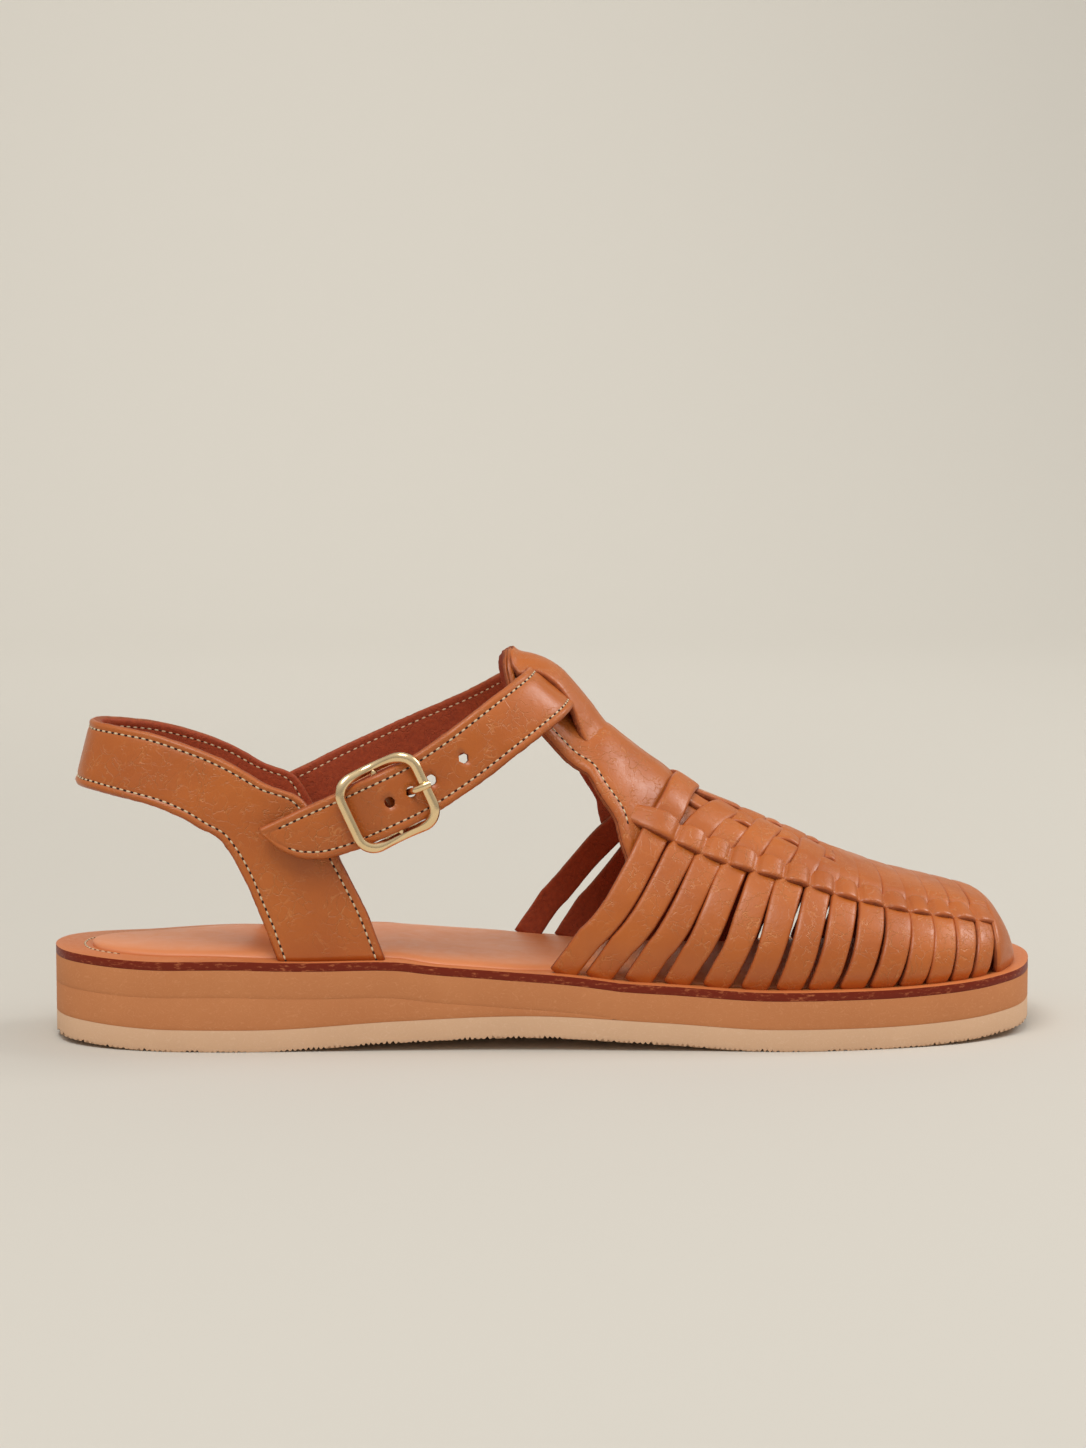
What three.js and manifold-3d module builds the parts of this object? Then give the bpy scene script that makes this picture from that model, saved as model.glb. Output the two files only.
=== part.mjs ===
// Huarache sandal for the right foot.
// Millimetres, +Z up, +X to the toe, +Y to the inner side of the foot. The sole stands on z = 0.
import * as THREE from 'three';
import Module from 'manifold-3d';
import { mergeVertices } from 'three/addons/utils/BufferGeometryUtils.js';

const wasm = await Module();
wasm.setup();

// Driving dimensions
const SOLE_LENGTH = 260;
const BALL_WIDTH = 88;
const OUTSOLE = 5.7;
const WEDGE_HEIGHT = 8.2;
const MIDSOLE = 7.1;
const FOOTBED = 2.0;
const INSOLE_EDGE = 0.7;
const INSOLE_CROWN = 1.0;
const HEEL_LIFT = 1.6;
const ARCH_GAP = 3.3;
const TOE_SPRING = 2.8;
const GAP = 0.3;

const VAMP_HEIGHT = 57;
const VAMP_LEDGE = 2.4;
const WALL = 2.0;
const WALL_DEPTH = 0.9;
const STRIP_WALL = 2.0;
const STRIP_WIDTH = 7.2;
const BORDER_WIDTH = 6.4;
const STRAND_WIDTH = 6.2;
const WEAVE_RISE = 0.75;
const WEAVE_DIP = 0.7;

const INSTEP_TOP = 103;
const INSTEP_HALF = 24;
const INSTEP_WALL = 2.4;
const TAB_WALL = 3.6;
const BRIDGE_WALL = 1.8;
const BRIDGE_HALF = 10.5;

const SLING_RISE = 61;
const SLING_WALL = 3.0;

const STRAP_WIDTH = 15.6;
const STRAP_WALL = 2.2;
const HOLE_DIAMETER = 3.0;

const FRAME_LENGTH = 23;
const FRAME_WIDTH = 21;
const FRAME_CORNER = 5.5;
const BAR = 2.0;
const STRAP_BULGE = 2.6;
const TAB_STRIP = 0.8;
const TAB_WIDTH = 12;
const PRONG = 1.6;

// Small geometry tools
const xAt = (share) => (share - 0.5) * SOLE_LENGTH;
const shareAt = (x) => x / SOLE_LENGTH + 0.5;
const clamp = (value, low, high) => Math.min(Math.max(value, low), high);
const range = (count, make) => Array.from({ length: count }, (_, i) => make(i));
const vector = (x, y, z) => new THREE.Vector3(x, y, z);

// A smooth curve through table rows that never swings past them
function curve(rows, key) {
  const x = rows.map((row) => row.at);
  const y = rows.map((row) => row[key]);
  const steps = range(x.length - 1, (i) => (y[i + 1] - y[i]) / (x[i + 1] - x[i]));
  const slopes = x.map((_, i) => {
    if (i === 0) return steps[0];
    if (i === x.length - 1) return steps[i - 1];
    const product = steps[i - 1] * steps[i];
    return product <= 0 ? 0 : (2 * product) / (steps[i - 1] + steps[i]);
  });
  return (value) => {
    const v = clamp(value, x[0], x[x.length - 1]);
    let i = 0;
    while (i < x.length - 2 && v > x[i + 1]) i += 1;
    const width = x[i + 1] - x[i];
    const t = (v - x[i]) / width;
    const ends = y[i] * (1 + 2 * t) * (1 - t) ** 2 + y[i + 1] * (3 - 2 * t) * t * t;
    return ends + width * t * (1 - t) * (slopes[i] * (1 - t) - slopes[i + 1] * t);
  };
}

// Indexed geometry whose faces point out
function closedGeometry(positions, faces) {
  const corners = range(3, () => vector(0, 0, 0));
  let volume = 0;
  for (let i = 0; i < faces.length; i += 3) {
    corners.forEach((corner, j) => corner.fromArray(positions, faces[i + j] * 3));
    volume += corners[0].dot(corners[1].cross(corners[2]));
  }
  const geometry = new THREE.BufferGeometry();
  geometry.setAttribute('position', new THREE.Float32BufferAttribute(positions, 3));
  geometry.setIndex(volume < 0 ? faces.reverse() : faces);
  return geometry;
}

// Closed mesh through rings of equal point counts. Each ring runs out along one side and back
// along the other, so its ends close with quads. A joined loft meets itself and has no ends.
function loft(rings, joined = false) {
  const n = rings[0].length;
  const positions = rings.flat().flatMap((p) => [p.x, p.y, p.z]);
  const faces = [];
  const quad = (a, b, c, d) => faces.push(a, b, c, a, c, d);
  const spans = joined ? rings.length : rings.length - 1;
  for (let i = 0; i < spans; i += 1) {
    const here = i * n;
    const next = ((i + 1) % rings.length) * n;
    for (let j = 0; j < n; j += 1) {
      const k = (j + 1) % n;
      quad(here + j, next + j, next + k, here + k);
    }
  }
  const end = (rings.length - 1) * n;
  for (let j = 0; !joined && j < n / 2 - 1; j += 1) {
    quad(j, j + 1, n - 2 - j, n - 1 - j);
    quad(end + n - 1 - j, end + n - 2 - j, end + j + 1, end + j);
  }
  return closedGeometry(positions, faces);
}

// Closed wall over rows of { point, normal }, with a thickness for each row
function sheet(rows, wallAt) {
  return loft(rows.map((row, i) => {
    const face = (side) => row.map(({ point, normal }) => (
      point.clone().addScaledVector(normal, side * wallAt(i) / 2)));
    return [...face(1), ...face(-1).reverse()];
  }));
}

function solidOf(geometry) {
  const bare = geometry.clone();
  bare.deleteAttribute('normal');
  bare.deleteAttribute('uv');
  const merged = mergeVertices(bare, 1e-4);
  const vertProperties = new Float32Array(merged.attributes.position.array);
  const triVerts = new Uint32Array(merged.index.array);
  return new wasm.Manifold(new wasm.Mesh({ numProp: 3, vertProperties, triVerts }));
}

function geometryOf(solid) {
  const mesh = solid.getMesh();
  const geometry = new THREE.BufferGeometry();
  geometry.setAttribute('position', new THREE.Float32BufferAttribute(mesh.vertProperties, 3));
  geometry.setIndex(Array.from(mesh.triVerts));
  return geometry;
}

// Sole outline from above: half widths on the outer and inner side, in shares of the ball width
const HEEL_TIP = { at: 0, y: -0.017 };
const TOE_TIP = { at: 1, y: 0.023 };
const PLAN = [
  { at: 0.012, outer: 0.165, inner: 0.125 },
  { at: 0.046, outer: 0.261, inner: 0.222 },
  { at: 0.104, outer: 0.33, inner: 0.29 },
  { at: 0.165, outer: 0.359, inner: 0.33 },
  { at: 0.235, outer: 0.369, inner: 0.352 },
  { at: 0.327, outer: 0.381, inner: 0.364 },
  { at: 0.423, outer: 0.398, inner: 0.361 },
  { at: 0.5, outer: 0.42, inner: 0.359 },
  { at: 0.569, outer: 0.443, inner: 0.375 },
  { at: 0.646, outer: 0.466, inner: 0.426 },
  { at: 0.731, outer: 0.497, inner: 0.483 },
  { at: 0.781, outer: 0.493, inner: 0.5 },
  { at: 0.846, outer: 0.466, inner: 0.489 },
  { at: 0.904, outer: 0.42, inner: 0.449 },
  { at: 0.946, outer: 0.349, inner: 0.386 },
  { at: 0.973, outer: 0.273, inner: 0.312 },
  { at: 0.99, outer: 0.159, inner: 0.205 },
];

const PLAN_POINTS = 720;

function planOutline() {
  const tip = ({ at, y }) => vector(xAt(at), y * BALL_WIDTH, 0);
  const outer = PLAN.map((row) => vector(xAt(row.at), -row.outer * BALL_WIDTH, 0));
  const inner = PLAN.map((row) => vector(xAt(row.at), row.inner * BALL_WIDTH, 0)).reverse();
  const points = [tip(HEEL_TIP), ...outer, tip(TOE_TIP), ...inner];
  const path = new THREE.CatmullRomCurve3(points, true, 'centripetal');
  return path.getSpacedPoints(PLAN_POINTS).slice(0, PLAN_POINTS);
}

// The outline moved in by a distance that may change along the sole
function inset(outline, distanceAt) {
  const n = outline.length;
  return outline.map((p, i) => {
    const along = outline[(i + 1) % n].clone().sub(outline[(i + n - 1) % n]).normalize();
    return vector(p.x - along.y * distanceAt(p.x), p.y + along.x * distanceAt(p.x), 0);
  });
}

// Where an outline crosses the plane x: { outer, inner } as y
function sidesAt(outline, x) {
  const n = outline.length;
  const found = [];
  for (let i = 0; i < n; i += 1) {
    const a = outline[i];
    const b = outline[(i + 1) % n];
    if ((a.x <= x) !== (b.x <= x)) found.push(a.y + ((b.y - a.y) * (x - a.x)) / (b.x - a.x));
  }
  return { outer: Math.min(...found), inner: Math.max(...found) };
}

const PLAN_LINE = planOutline();

// Heights along the sole
const BOTTOM = [
  { at: 0, lift: HEEL_LIFT },
  { at: 0.115, lift: 0 },
  { at: 0.2, lift: 0 },
  { at: 0.34, lift: 0.62 * ARCH_GAP },
  { at: 0.47, lift: ARCH_GAP },
  { at: 0.6, lift: 0.5 * ARCH_GAP },
  { at: 0.71, lift: 0 },
  { at: 0.81, lift: 0 },
  { at: 0.915, lift: 0.3 * TOE_SPRING },
  { at: 1, lift: TOE_SPRING },
];
const WEDGE = [
  { at: 0, step: 0.9 },
  { at: 0.077, step: 0.95 },
  { at: 0.17, step: 1 },
  { at: 0.277, step: 0.83 },
  { at: 0.338, step: 0.7 },
  { at: 0.377, step: 0.5 },
  { at: 0.42, step: 0.33 },
  { at: 0.465, step: 0.19 },
  { at: 0.52, step: 0.09 },
  { at: 0.56, step: 0 },
];
const WEDGE_END = 0.505;

const liftShare = curve(BOTTOM, 'lift');
const wedgeShare = curve(WEDGE, 'step');
const bottomAt = (x) => liftShare(shareAt(x));
const outsoleTop = (x) => bottomAt(x) + OUTSOLE;
const midsoleBase = (x) => outsoleTop(x) + GAP + wedgeShare(shareAt(x)) * WEDGE_HEIGHT;
const midsoleTop = (x) => midsoleBase(x) + MIDSOLE;
const footbedTop = (x) => midsoleTop(x) + GAP + FOOTBED;
const seatAt = (x) => footbedTop(x) + GAP;

// Stations from tip to tip, closer at the rounded ends and on the flats' ends. A layer that stops
// short at a given x has its close stations at the heel alone.
const TIP_CUT = 0.12;
const LEAST_STEP = 1.5;

function stations(outline, count, to = Infinity) {
  const xs = outline.map((p) => p.x);
  const low = Math.min(...xs) + TIP_CUT;
  const high = Math.min(Math.max(...xs) - TIP_CUT, to);
  const arc = to < Infinity ? Math.PI / 2 : Math.PI;
  const even = range(count + 1, (i) => (
    low + ((high - low) * (1 - Math.cos((i / count) * arc))) / (1 - Math.cos(arc))));
  const flats = BOTTOM.filter((row) => row.lift === 0).map((row) => xAt(row.at));
  const spaced = even.filter((x) => flats.every((flat) => Math.abs(flat - x) > LEAST_STEP || x === low));
  return [...spaced, ...flats.filter((x) => x > low && x < high)].sort((a, b) => a - b);
}

// Sole layer between two heights, with its plan given by an outline
function layer(outline, count, lowAt, highAt, to) {
  return loft(stations(outline, count, to).map((x) => {
    const { outer, inner } = sidesAt(outline, x);
    return [
      vector(x, outer, highAt(x)), vector(x, inner, highAt(x)),
      vector(x, inner, lowAt(x)), vector(x, outer, lowAt(x)),
    ];
  }));
}

// Padded sock on the footbed, crowned across and thin at its edge
const RIM = [
  { at: 0, in: 9.5 },
  { at: 0.12, in: 7.6 },
  { at: 0.2, in: 6.4 },
  { at: 0.34, in: 6.4 },
  { at: 0.38, in: 3.4 },
  { at: 0.45, in: 3.4 },
  { at: 0.5, in: 6.8 },
  { at: 0.9, in: 6.8 },
  { at: 1, in: 8.5 },
];
const CROWN = [
  { across: -0.88, rise: 0.65 },
  { across: 0, rise: 1 },
  { across: 0.88, rise: 0.65 },
];

function insole() {
  const rim = curve(RIM, 'in');
  const outline = inset(PLAN_LINE, (x) => rim(shareAt(x)));
  return loft(stations(outline, 26).map((x) => {
    const { outer, inner } = sidesAt(outline, x);
    const middle = (outer + inner) / 2;
    const half = (inner - outer) / 2;
    const fullness = Math.min(1, half / (0.2 * BALL_WIDTH));
    const base = seatAt(x);
    const edge = base + INSOLE_EDGE;
    const places = CROWN.map(({ across }) => middle + across * half);
    const top = CROWN.map(({ rise }, i) => vector(x, places[i], edge + rise * fullness * INSOLE_CROWN));
    const under = places.map((y) => vector(x, y, base)).reverse();
    return [
      vector(x, outer, edge), ...top, vector(x, inner, edge),
      vector(x, inner, base), ...under, vector(x, outer, base),
    ];
  }));
}

// The last under the vamp. A section at x is upright: v runs from -1 at the outer base over
// the crest at 0 to 1 at the inner base. rise is the crest over the footbed in shares of
// VAMP_HEIGHT, and full is how far the section bulges between its belly and its crest.
const LAST = [
  { at: 0.47, rise: 1.22, full: 0.34 },
  { at: 0.54, rise: 1.155, full: 0.34 },
  { at: 0.59, rise: 1.004, full: 0.35 },
  { at: 0.63, rise: 0.88, full: 0.38 },
  { at: 0.669, rise: 0.778, full: 0.44 },
  { at: 0.707, rise: 0.703, full: 0.5 },
  { at: 0.732, rise: 0.655, full: 0.54 },
  { at: 0.768, rise: 0.579, full: 0.6 },
  { at: 0.793, rise: 0.524, full: 0.64 },
  { at: 0.822, rise: 0.474, full: 0.68 },
  { at: 0.85, rise: 0.426, full: 0.7 },
  { at: 0.886, rise: 0.378, full: 0.72 },
  { at: 0.917, rise: 0.336, full: 0.74 },
  { at: 0.938, rise: 0.303, full: 0.74 },
  { at: 0.954, rise: 0.259, full: 0.74 },
  { at: 0.965, rise: 0.19, full: 0.74 },
  { at: 0.972, rise: 0.12, full: 0.74 },
  { at: 0.9785, rise: 0.01, full: 0.74 },
];
const LEDGE = [
  { at: 0.45, in: 1 },
  { at: 0.9, in: 1 },
  { at: 1, in: 1.55 },
];
const BELLY = 0.15;
const TUCK = 0.035;

const lastRise = curve(LAST, 'rise');
const lastFull = curve(LAST, 'full');
const ledgeShare = curve(LEDGE, 'in');
const LAST_LINE = inset(PLAN_LINE, (x) => ledgeShare(shareAt(x)) * VAMP_LEDGE + STRIP_WALL / 2);
const NOSE_X = Math.max(...LAST_LINE.map((p) => p.x)) - 0.3;

function lastPoint(x, v) {
  const { outer, inner } = sidesAt(LAST_LINE, Math.min(x, NOSE_X));
  const t = 1 - Math.abs(v);
  const height = lastRise(shareAt(x)) * VAMP_HEIGHT;
  const half = (inner - outer) / 2;
  const weight = 2 * lastFull(shareAt(x));
  const s = Math.max(0, (t - BELLY) / (1 - BELLY));
  const whole = (1 - s) ** 2 + weight * s * (1 - s) + s * s;
  const across = ((1 - s) ** 2 + weight * s * (1 - s)) / whole;
  const up = (weight * s * (1 - s) + s * s) / whole;
  const tuck = TUCK * Math.max(0, 1 - t / BELLY) ** 2;
  const rise = Math.min(t, BELLY) + (1 - BELLY) * up;
  return vector(x, (outer + inner) / 2 + Math.sign(v) * half * (across - tuck), seatAt(x) + rise * height);
}

function lastNormal(x, v) {
  const step = 0.5;
  const turn = 0.01;
  const alongX = lastPoint(x + step, v).sub(lastPoint(x - step, v));
  const alongV = lastPoint(x, v + turn).sub(lastPoint(x, v - turn));
  return alongX.cross(alongV).normalize();
}

// Flat strip along a path of { point, normal, half }
function ribbon(path, wall) {
  const rows = path.map(({ point, normal, half }, i) => {
    const before = path[Math.max(i - 1, 0)].point;
    const after = path[Math.min(i + 1, path.length - 1)].point;
    const side = after.clone().sub(before).cross(normal).normalize();
    return [-1, 1].map((s) => ({ point: point.clone().addScaledVector(side, s * half), normal }));
  });
  return sheet(rows, () => wall);
}

// Cross strips: x of the middle of each strip at its base, under the border strand, above it and
// on the crest, as shares of the sole length, with its width as a share of STRIP_WIDTH.
// over says whether it lies over the inner strands and over the middle strand.
const STRIPS = [
  { base: 0.501, below: 0.598, above: 0.619, crest: 0.642, width: 1, overInner: true, overMiddle: true },
  { base: 0.536, below: 0.626, above: 0.65, crest: 0.692, width: 1, overInner: true, overMiddle: false },
  { base: 0.575, below: 0.652, above: 0.674, crest: 0.711, width: 1, overInner: false, overMiddle: true },
  { base: 0.614, below: 0.677, above: 0.7, crest: 0.733, width: 1, overInner: true, overMiddle: false },
  { base: 0.653, below: 0.706, above: 0.727, crest: 0.754, width: 1, overInner: false, overMiddle: true },
  { base: 0.691, below: 0.733, above: 0.754, crest: 0.775, width: 1, overInner: true, overMiddle: false },
  { base: 0.725, below: 0.762, above: 0.777, crest: 0.79, width: 0.97, overInner: false, overMiddle: true },
  { base: 0.757, below: 0.789, above: 0.796, crest: 0.804, width: 0.97, overInner: true, overMiddle: true },
  { base: 0.789, below: 0.817, above: 0.82, crest: 0.822, width: 0.97, overInner: true, overMiddle: true },
  { base: 0.82, below: 0.844, above: 0.845, crest: 0.846, width: 0.97, overInner: true, overMiddle: true },
  { base: 0.851, below: 0.868, above: 0.868, crest: 0.869, width: 0.93, overInner: true, overMiddle: true },
  { base: 0.878, below: 0.891, above: 0.891, crest: 0.892, width: 0.9, overInner: true, overMiddle: true },
  { base: 0.903, below: 0.914, above: 0.914, crest: 0.914, width: 0.85, overInner: true, overMiddle: true },
  { base: 0.925, below: 0.937, above: 0.936, crest: 0.935, width: 0.8, overInner: true, overMiddle: true },
];
const BORDER_V = 0.4;
const INNER_V = 0.17;
const CAP_REAR = 0.944;
const WOVEN_STEPS = [1.03, 0.88, 0.7, 0.56, 0.46, 0.4, 0.33, 0.26, 0.17, 0.09, 0];
const PLAIN_STEPS = [1.03, 0.85, 0.68, 0.54, 0.46, 0.4, 0.33, 0.18, 0];

function stripX(row) {
  const x = curve([
    { at: 0, x: xAt(row.crest) },
    { at: 0.33, x: xAt(row.above) },
    { at: 0.46, x: xAt(row.below) },
    { at: 1.03, x: xAt(row.base) },
  ], 'x');
  const bend = 0.09;
  return (v) => x(Math.sqrt(v * v + bend * bend) - bend * (1 - Math.min(1, Math.abs(v) / 0.33)));
}

function stripLift(row) {
  const lift = curve([
    { at: 0, lift: row.overMiddle ? WEAVE_RISE : -WEAVE_DIP },
    { at: 0.09, lift: row.overMiddle === row.overInner ? WEAVE_RISE : 0.4 * WEAVE_RISE },
    { at: INNER_V, lift: row.overInner ? WEAVE_RISE : -WEAVE_DIP },
    { at: 0.28, lift: WEAVE_RISE },
    { at: 0.33, lift: 0.7 * WEAVE_RISE },
    { at: BORDER_V, lift: -WEAVE_DIP },
    { at: 0.48, lift: -0.2 * WEAVE_DIP },
    { at: 0.6, lift: 0 },
  ], 'lift');
  return (v) => lift(Math.abs(v));
}

function lastPath(points) {
  return points.map(({ x, v, lift, half }) => {
    const normal = lastNormal(x, v);
    return { point: lastPoint(x, v).addScaledVector(normal, lift), normal, half };
  });
}

function crossStrip(row) {
  const x = stripX(row);
  const lift = stripLift(row);
  const oneSide = row.overInner && row.overMiddle ? PLAIN_STEPS : WOVEN_STEPS;
  const steps = [...oneSide.map((v) => -v), ...oneSide.slice(0, -1).reverse()];
  const half = (row.width * STRIP_WIDTH) / 2;
  return ribbon(lastPath(steps.map((v) => ({ x: x(v), v, lift: lift(v), half }))), STRIP_WALL);
}

// Border strand on one side: over every strip, and down against the wall between them
function borderStrand(side) {
  const start = { x: xAt(STRIPS[0].below) - 1.6 * STRIP_WIDTH, lift: -WEAVE_DIP };
  const end = { x: xAt(CAP_REAR) + 0.7 * STRIP_WIDTH, lift: -WEAVE_DIP };
  const crossings = STRIPS.flatMap((row, i) => {
    const x = xAt((row.below + row.above) / 2);
    const next = STRIPS[i + 1];
    const over = { x, lift: WEAVE_RISE };
    return next ? [over, { x: (x + xAt((next.below + next.above) / 2)) / 2, lift: 0.35 }] : [over];
  });
  const rows = [start, ...crossings, end];
  const half = BORDER_WIDTH / 2;
  return ribbon(lastPath(rows.map(({ x, lift }) => ({ x, v: side * BORDER_V, lift, half }))), STRIP_WALL);
}

// A strand that comes up over one strip and goes down again on both sides of it
function strandOver(row, v) {
  const centre = stripX(row)(v);
  const steps = [
    { along: -1.15, lift: -WEAVE_DIP },
    { along: -0.62, lift: 0.6 * WEAVE_RISE },
    { along: 0, lift: WEAVE_RISE },
    { along: 0.62, lift: 0.6 * WEAVE_RISE },
    { along: 1.15, lift: -WEAVE_DIP },
  ];
  const half = STRAND_WIDTH / 2;
  return ribbon(lastPath(steps.map(({ along, lift }) => (
    { x: centre + along * row.width * STRIP_WIDTH, v, lift, half }))), STRIP_WALL);
}

// Instep strap from the vamp's rear up to its tab: middle of the wall on the crest, as x share
// and height share, half width as a share of INSTEP_HALF and how far its edges fall
const INSTEP = [
  { at: 0.6, high: 0.7, half: 0.95, fall: 15.4, wall: INSTEP_WALL },
  { at: 0.577, high: 0.745, half: 0.87, fall: 13.8, wall: INSTEP_WALL },
  { at: 0.5585, high: 0.78, half: 0.765, fall: 11.7, wall: INSTEP_WALL },
  { at: 0.539, high: 0.797, half: 0.7, fall: 10.6, wall: STRAP_WALL },
  { at: 0.5188, high: 0.822, half: 0.63, fall: 8.2, wall: STRAP_WALL },
  { at: 0.495, high: 0.8715, half: 0.56, fall: 6.2, wall: STRAP_WALL },
  { at: 0.47, high: 0.9235, half: 0.47, fall: 3.6, wall: STRAP_WALL },
  { at: 0.4635, high: 0.957, half: 0.38, fall: 2.4, wall: TAB_WALL },
  { at: 0.4595, high: 0.978, half: 0.26, fall: 1.2, wall: TAB_WALL },
  { at: 0.458, high: 0.987, half: 0.13, fall: 0.4, wall: TAB_WALL },
];
// Outer layer that arches over the ankle strap
const BRIDGE = [
  { at: 0.5605, high: 0.782, half: 1.2, fall: 4.6 },
  { at: 0.5445, high: 0.833, half: 1.08, fall: 2.6 },
  { at: 0.535, high: 0.864, half: 1.0, fall: 1.5 },
  { at: 0.524, high: 0.898, half: 0.98, fall: 1.2 },
  { at: 0.511, high: 0.932, half: 0.97, fall: 1.1 },
  { at: 0.494, high: 0.9575, half: 0.95, fall: 1.1 },
  { at: 0.48, high: 0.969, half: 0.9, fall: 0.9 },
  { at: 0.4665, high: 0.972, half: 0.78, fall: 1.8 },
];

const crestPoint = ({ at, high }) => vector(xAt(at), 0, high * INSTEP_TOP);

// Rows across a strap that arches over the instep, with its edges falling away from the crest
function archedRows(table, halfUnit, columns) {
  const crest = table.map(crestPoint);
  return table.map((row, i) => {
    const along = crest[Math.min(i + 1, crest.length - 1)].clone().sub(crest[Math.max(i - 1, 0)]);
    const inward = vector(along.z, 0, -along.x).normalize();
    if (inward.x > 0) inward.negate();
    const spread = range(columns, (j) => (2 * j) / (columns - 1) - 1);
    return spread.map((c) => crest[i].clone()
      .add(vector(0, c * row.half * halfUnit, 0))
      .addScaledVector(inward, row.fall * c * c));
  });
}

// Gives each point of a grid the normal of its neighbours, away from the foot
function withNormals(points) {
  const rows = points.length;
  const columns = points[0].length;
  return points.map((row, i) => row.map((point, j) => {
    const down = points[Math.max(i - 1, 0)][j];
    const up = points[Math.min(i + 1, rows - 1)][j];
    const left = row[Math.max(j - 1, 0)];
    const right = row[Math.min(j + 1, columns - 1)];
    const normal = up.clone().sub(down).cross(right.clone().sub(left)).normalize();
    return { point, normal };
  }));
}

const outward = (rows) => {
  rows.flat().filter((cell) => cell.normal.z < 0).forEach((cell) => cell.normal.negate());
  return rows;
};

// Weave wall and instep strap as one sheet, from under the toe cap back and up to the tab
const WALL_COLUMNS = 9;
const WALL_ROWS = 12;
const WALL_FRONT = 0.95;
const WALL_REAR = 0.617;

function uppersWall() {
  const spread = range(WALL_COLUMNS, (j) => (2 * j) / (WALL_COLUMNS - 1) - 1);
  const ats = range(WALL_ROWS, (i) => WALL_FRONT + ((WALL_REAR - WALL_FRONT) * i) / (WALL_ROWS - 1));
  const vamp = ats.map(xAt).map((x) => spread.map((c) => (
    lastPoint(x, c * BORDER_V).addScaledVector(lastNormal(x, c * BORDER_V), -WALL_DEPTH))));
  const strap = archedRows(INSTEP, INSTEP_HALF, WALL_COLUMNS);
  const walls = [...vamp.map(() => WALL), ...INSTEP.map((row) => row.wall)];
  return sheet(outward(withNormals([...vamp, ...strap])), (i) => walls[i]);
}

// The last piece wraps the tip of the toe, over the ends of the strands
const CAP_ROWS = [
  { back: 1, lift: 0.9 },
  { back: 0.72, lift: 0.5 },
  { back: 0.48, lift: 0.1 },
  { back: 0.29, lift: 0 },
  { back: 0.15, lift: 0 },
  { back: 0.06, lift: 0 },
  { back: 0, lift: 0 },
];
const CAP_COLUMNS = [1.03, 0.86, 0.68, 0.5, 0.34, 0.17];

function toeCap() {
  const length = NOSE_X - xAt(CAP_REAR);
  const spread = [...CAP_COLUMNS.map((v) => -v), 0, ...[...CAP_COLUMNS].reverse()];
  const rows = CAP_ROWS.map(({ back, lift }) => {
    const x = NOSE_X - back * length;
    return lastPath(spread.map((v) => ({ x, v, lift: lift * WEAVE_RISE })));
  });
  return sheet(rows, () => STRIP_WALL);
}

function bridge() {
  return sheet(outward(withNormals(archedRows(BRIDGE, BRIDGE_HALF, 7))), () => BRIDGE_WALL);
}

// Everything above the footbed: straps end just over it
function aboveFootbed() {
  const margin = 6;
  const wide = inset(PLAN_LINE, () => -margin);
  return solidOf(layer(wide, 60, seatAt, () => 2 * INSTEP_TOP));
}
const ABOVE = aboveFootbed();

function wovenUpper() {
  const parts = [
    uppersWall(),
    bridge(),
    toeCap(),
    ...STRIPS.map(crossStrip),
    borderStrand(-1),
    borderStrand(1),
    ...STRIPS.filter((row) => !row.overInner).flatMap((row) => [
      strandOver(row, -INNER_V), strandOver(row, INNER_V)]),
    ...STRIPS.filter((row) => !row.overMiddle).map((row) => strandOver(row, 0)),
  ];
  const joined = parts.map(solidOf).reduce((whole, part) => whole.add(part)).intersect(ABOVE);
  // A pocket that the strips close off is filled
  const filled = joined.decompose().filter((body) => body.volume() > 0);
  return geometryOf(wasm.Manifold.compose(filled));
}

// Heel sling: a band round the heel whose two legs run down to the footbed. low and high are
// shares of SLING_RISE over the footbed, in is the inset from the sole's outline at the low edge
const SLING = [
  { at: 0.02, low: 0.69, high: 0.965, in: 5.4, lean: 14.5 },
  { at: 0.1, low: 0.645, high: 0.942, in: 5, lean: 12.5 },
  { at: 0.148, low: 0.54, high: 0.868, in: 4.5, lean: 9 },
  { at: 0.178, low: 0.437, high: 0.825, in: 4, lean: 6 },
  { at: 0.2, low: 0.247, high: 0.765, in: 3.3, lean: 4.4 },
  { at: 0.22, low: 0, high: 0.722, in: 2.3, lean: 3.6 },
  { at: 0.25, low: 0, high: 0.68, in: 2.2, lean: 3.5 },
  { at: 0.29, low: 0, high: 0.42, in: 2.2, lean: 3.5 },
  { at: 0.326, low: 0, high: 0.05, in: 2.2, lean: 3.5 },
];
const slingLow = curve(SLING, 'low');
const slingHigh = curve(SLING, 'high');
const slingIn = curve(SLING, 'in');
const slingLean = curve(SLING, 'lean');
const SLING_FRONT = xAt(SLING[SLING.length - 1].at);

// Inset of the sling's outer face from the sole's outline at a height
function slingInset(x, z) {
  const at = shareAt(x);
  const low = footbedTop(x) + slingLow(at) * SLING_RISE;
  return slingIn(at) + Math.tan(THREE.MathUtils.degToRad(slingLean(at))) * Math.max(0, z - low);
}

function slingFace(x, z, side) {
  const { outer, inner } = sidesAt(PLAN_LINE, x);
  const y = side < 0 ? outer : inner;
  return y - side * slingInset(x, z);
}

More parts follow.
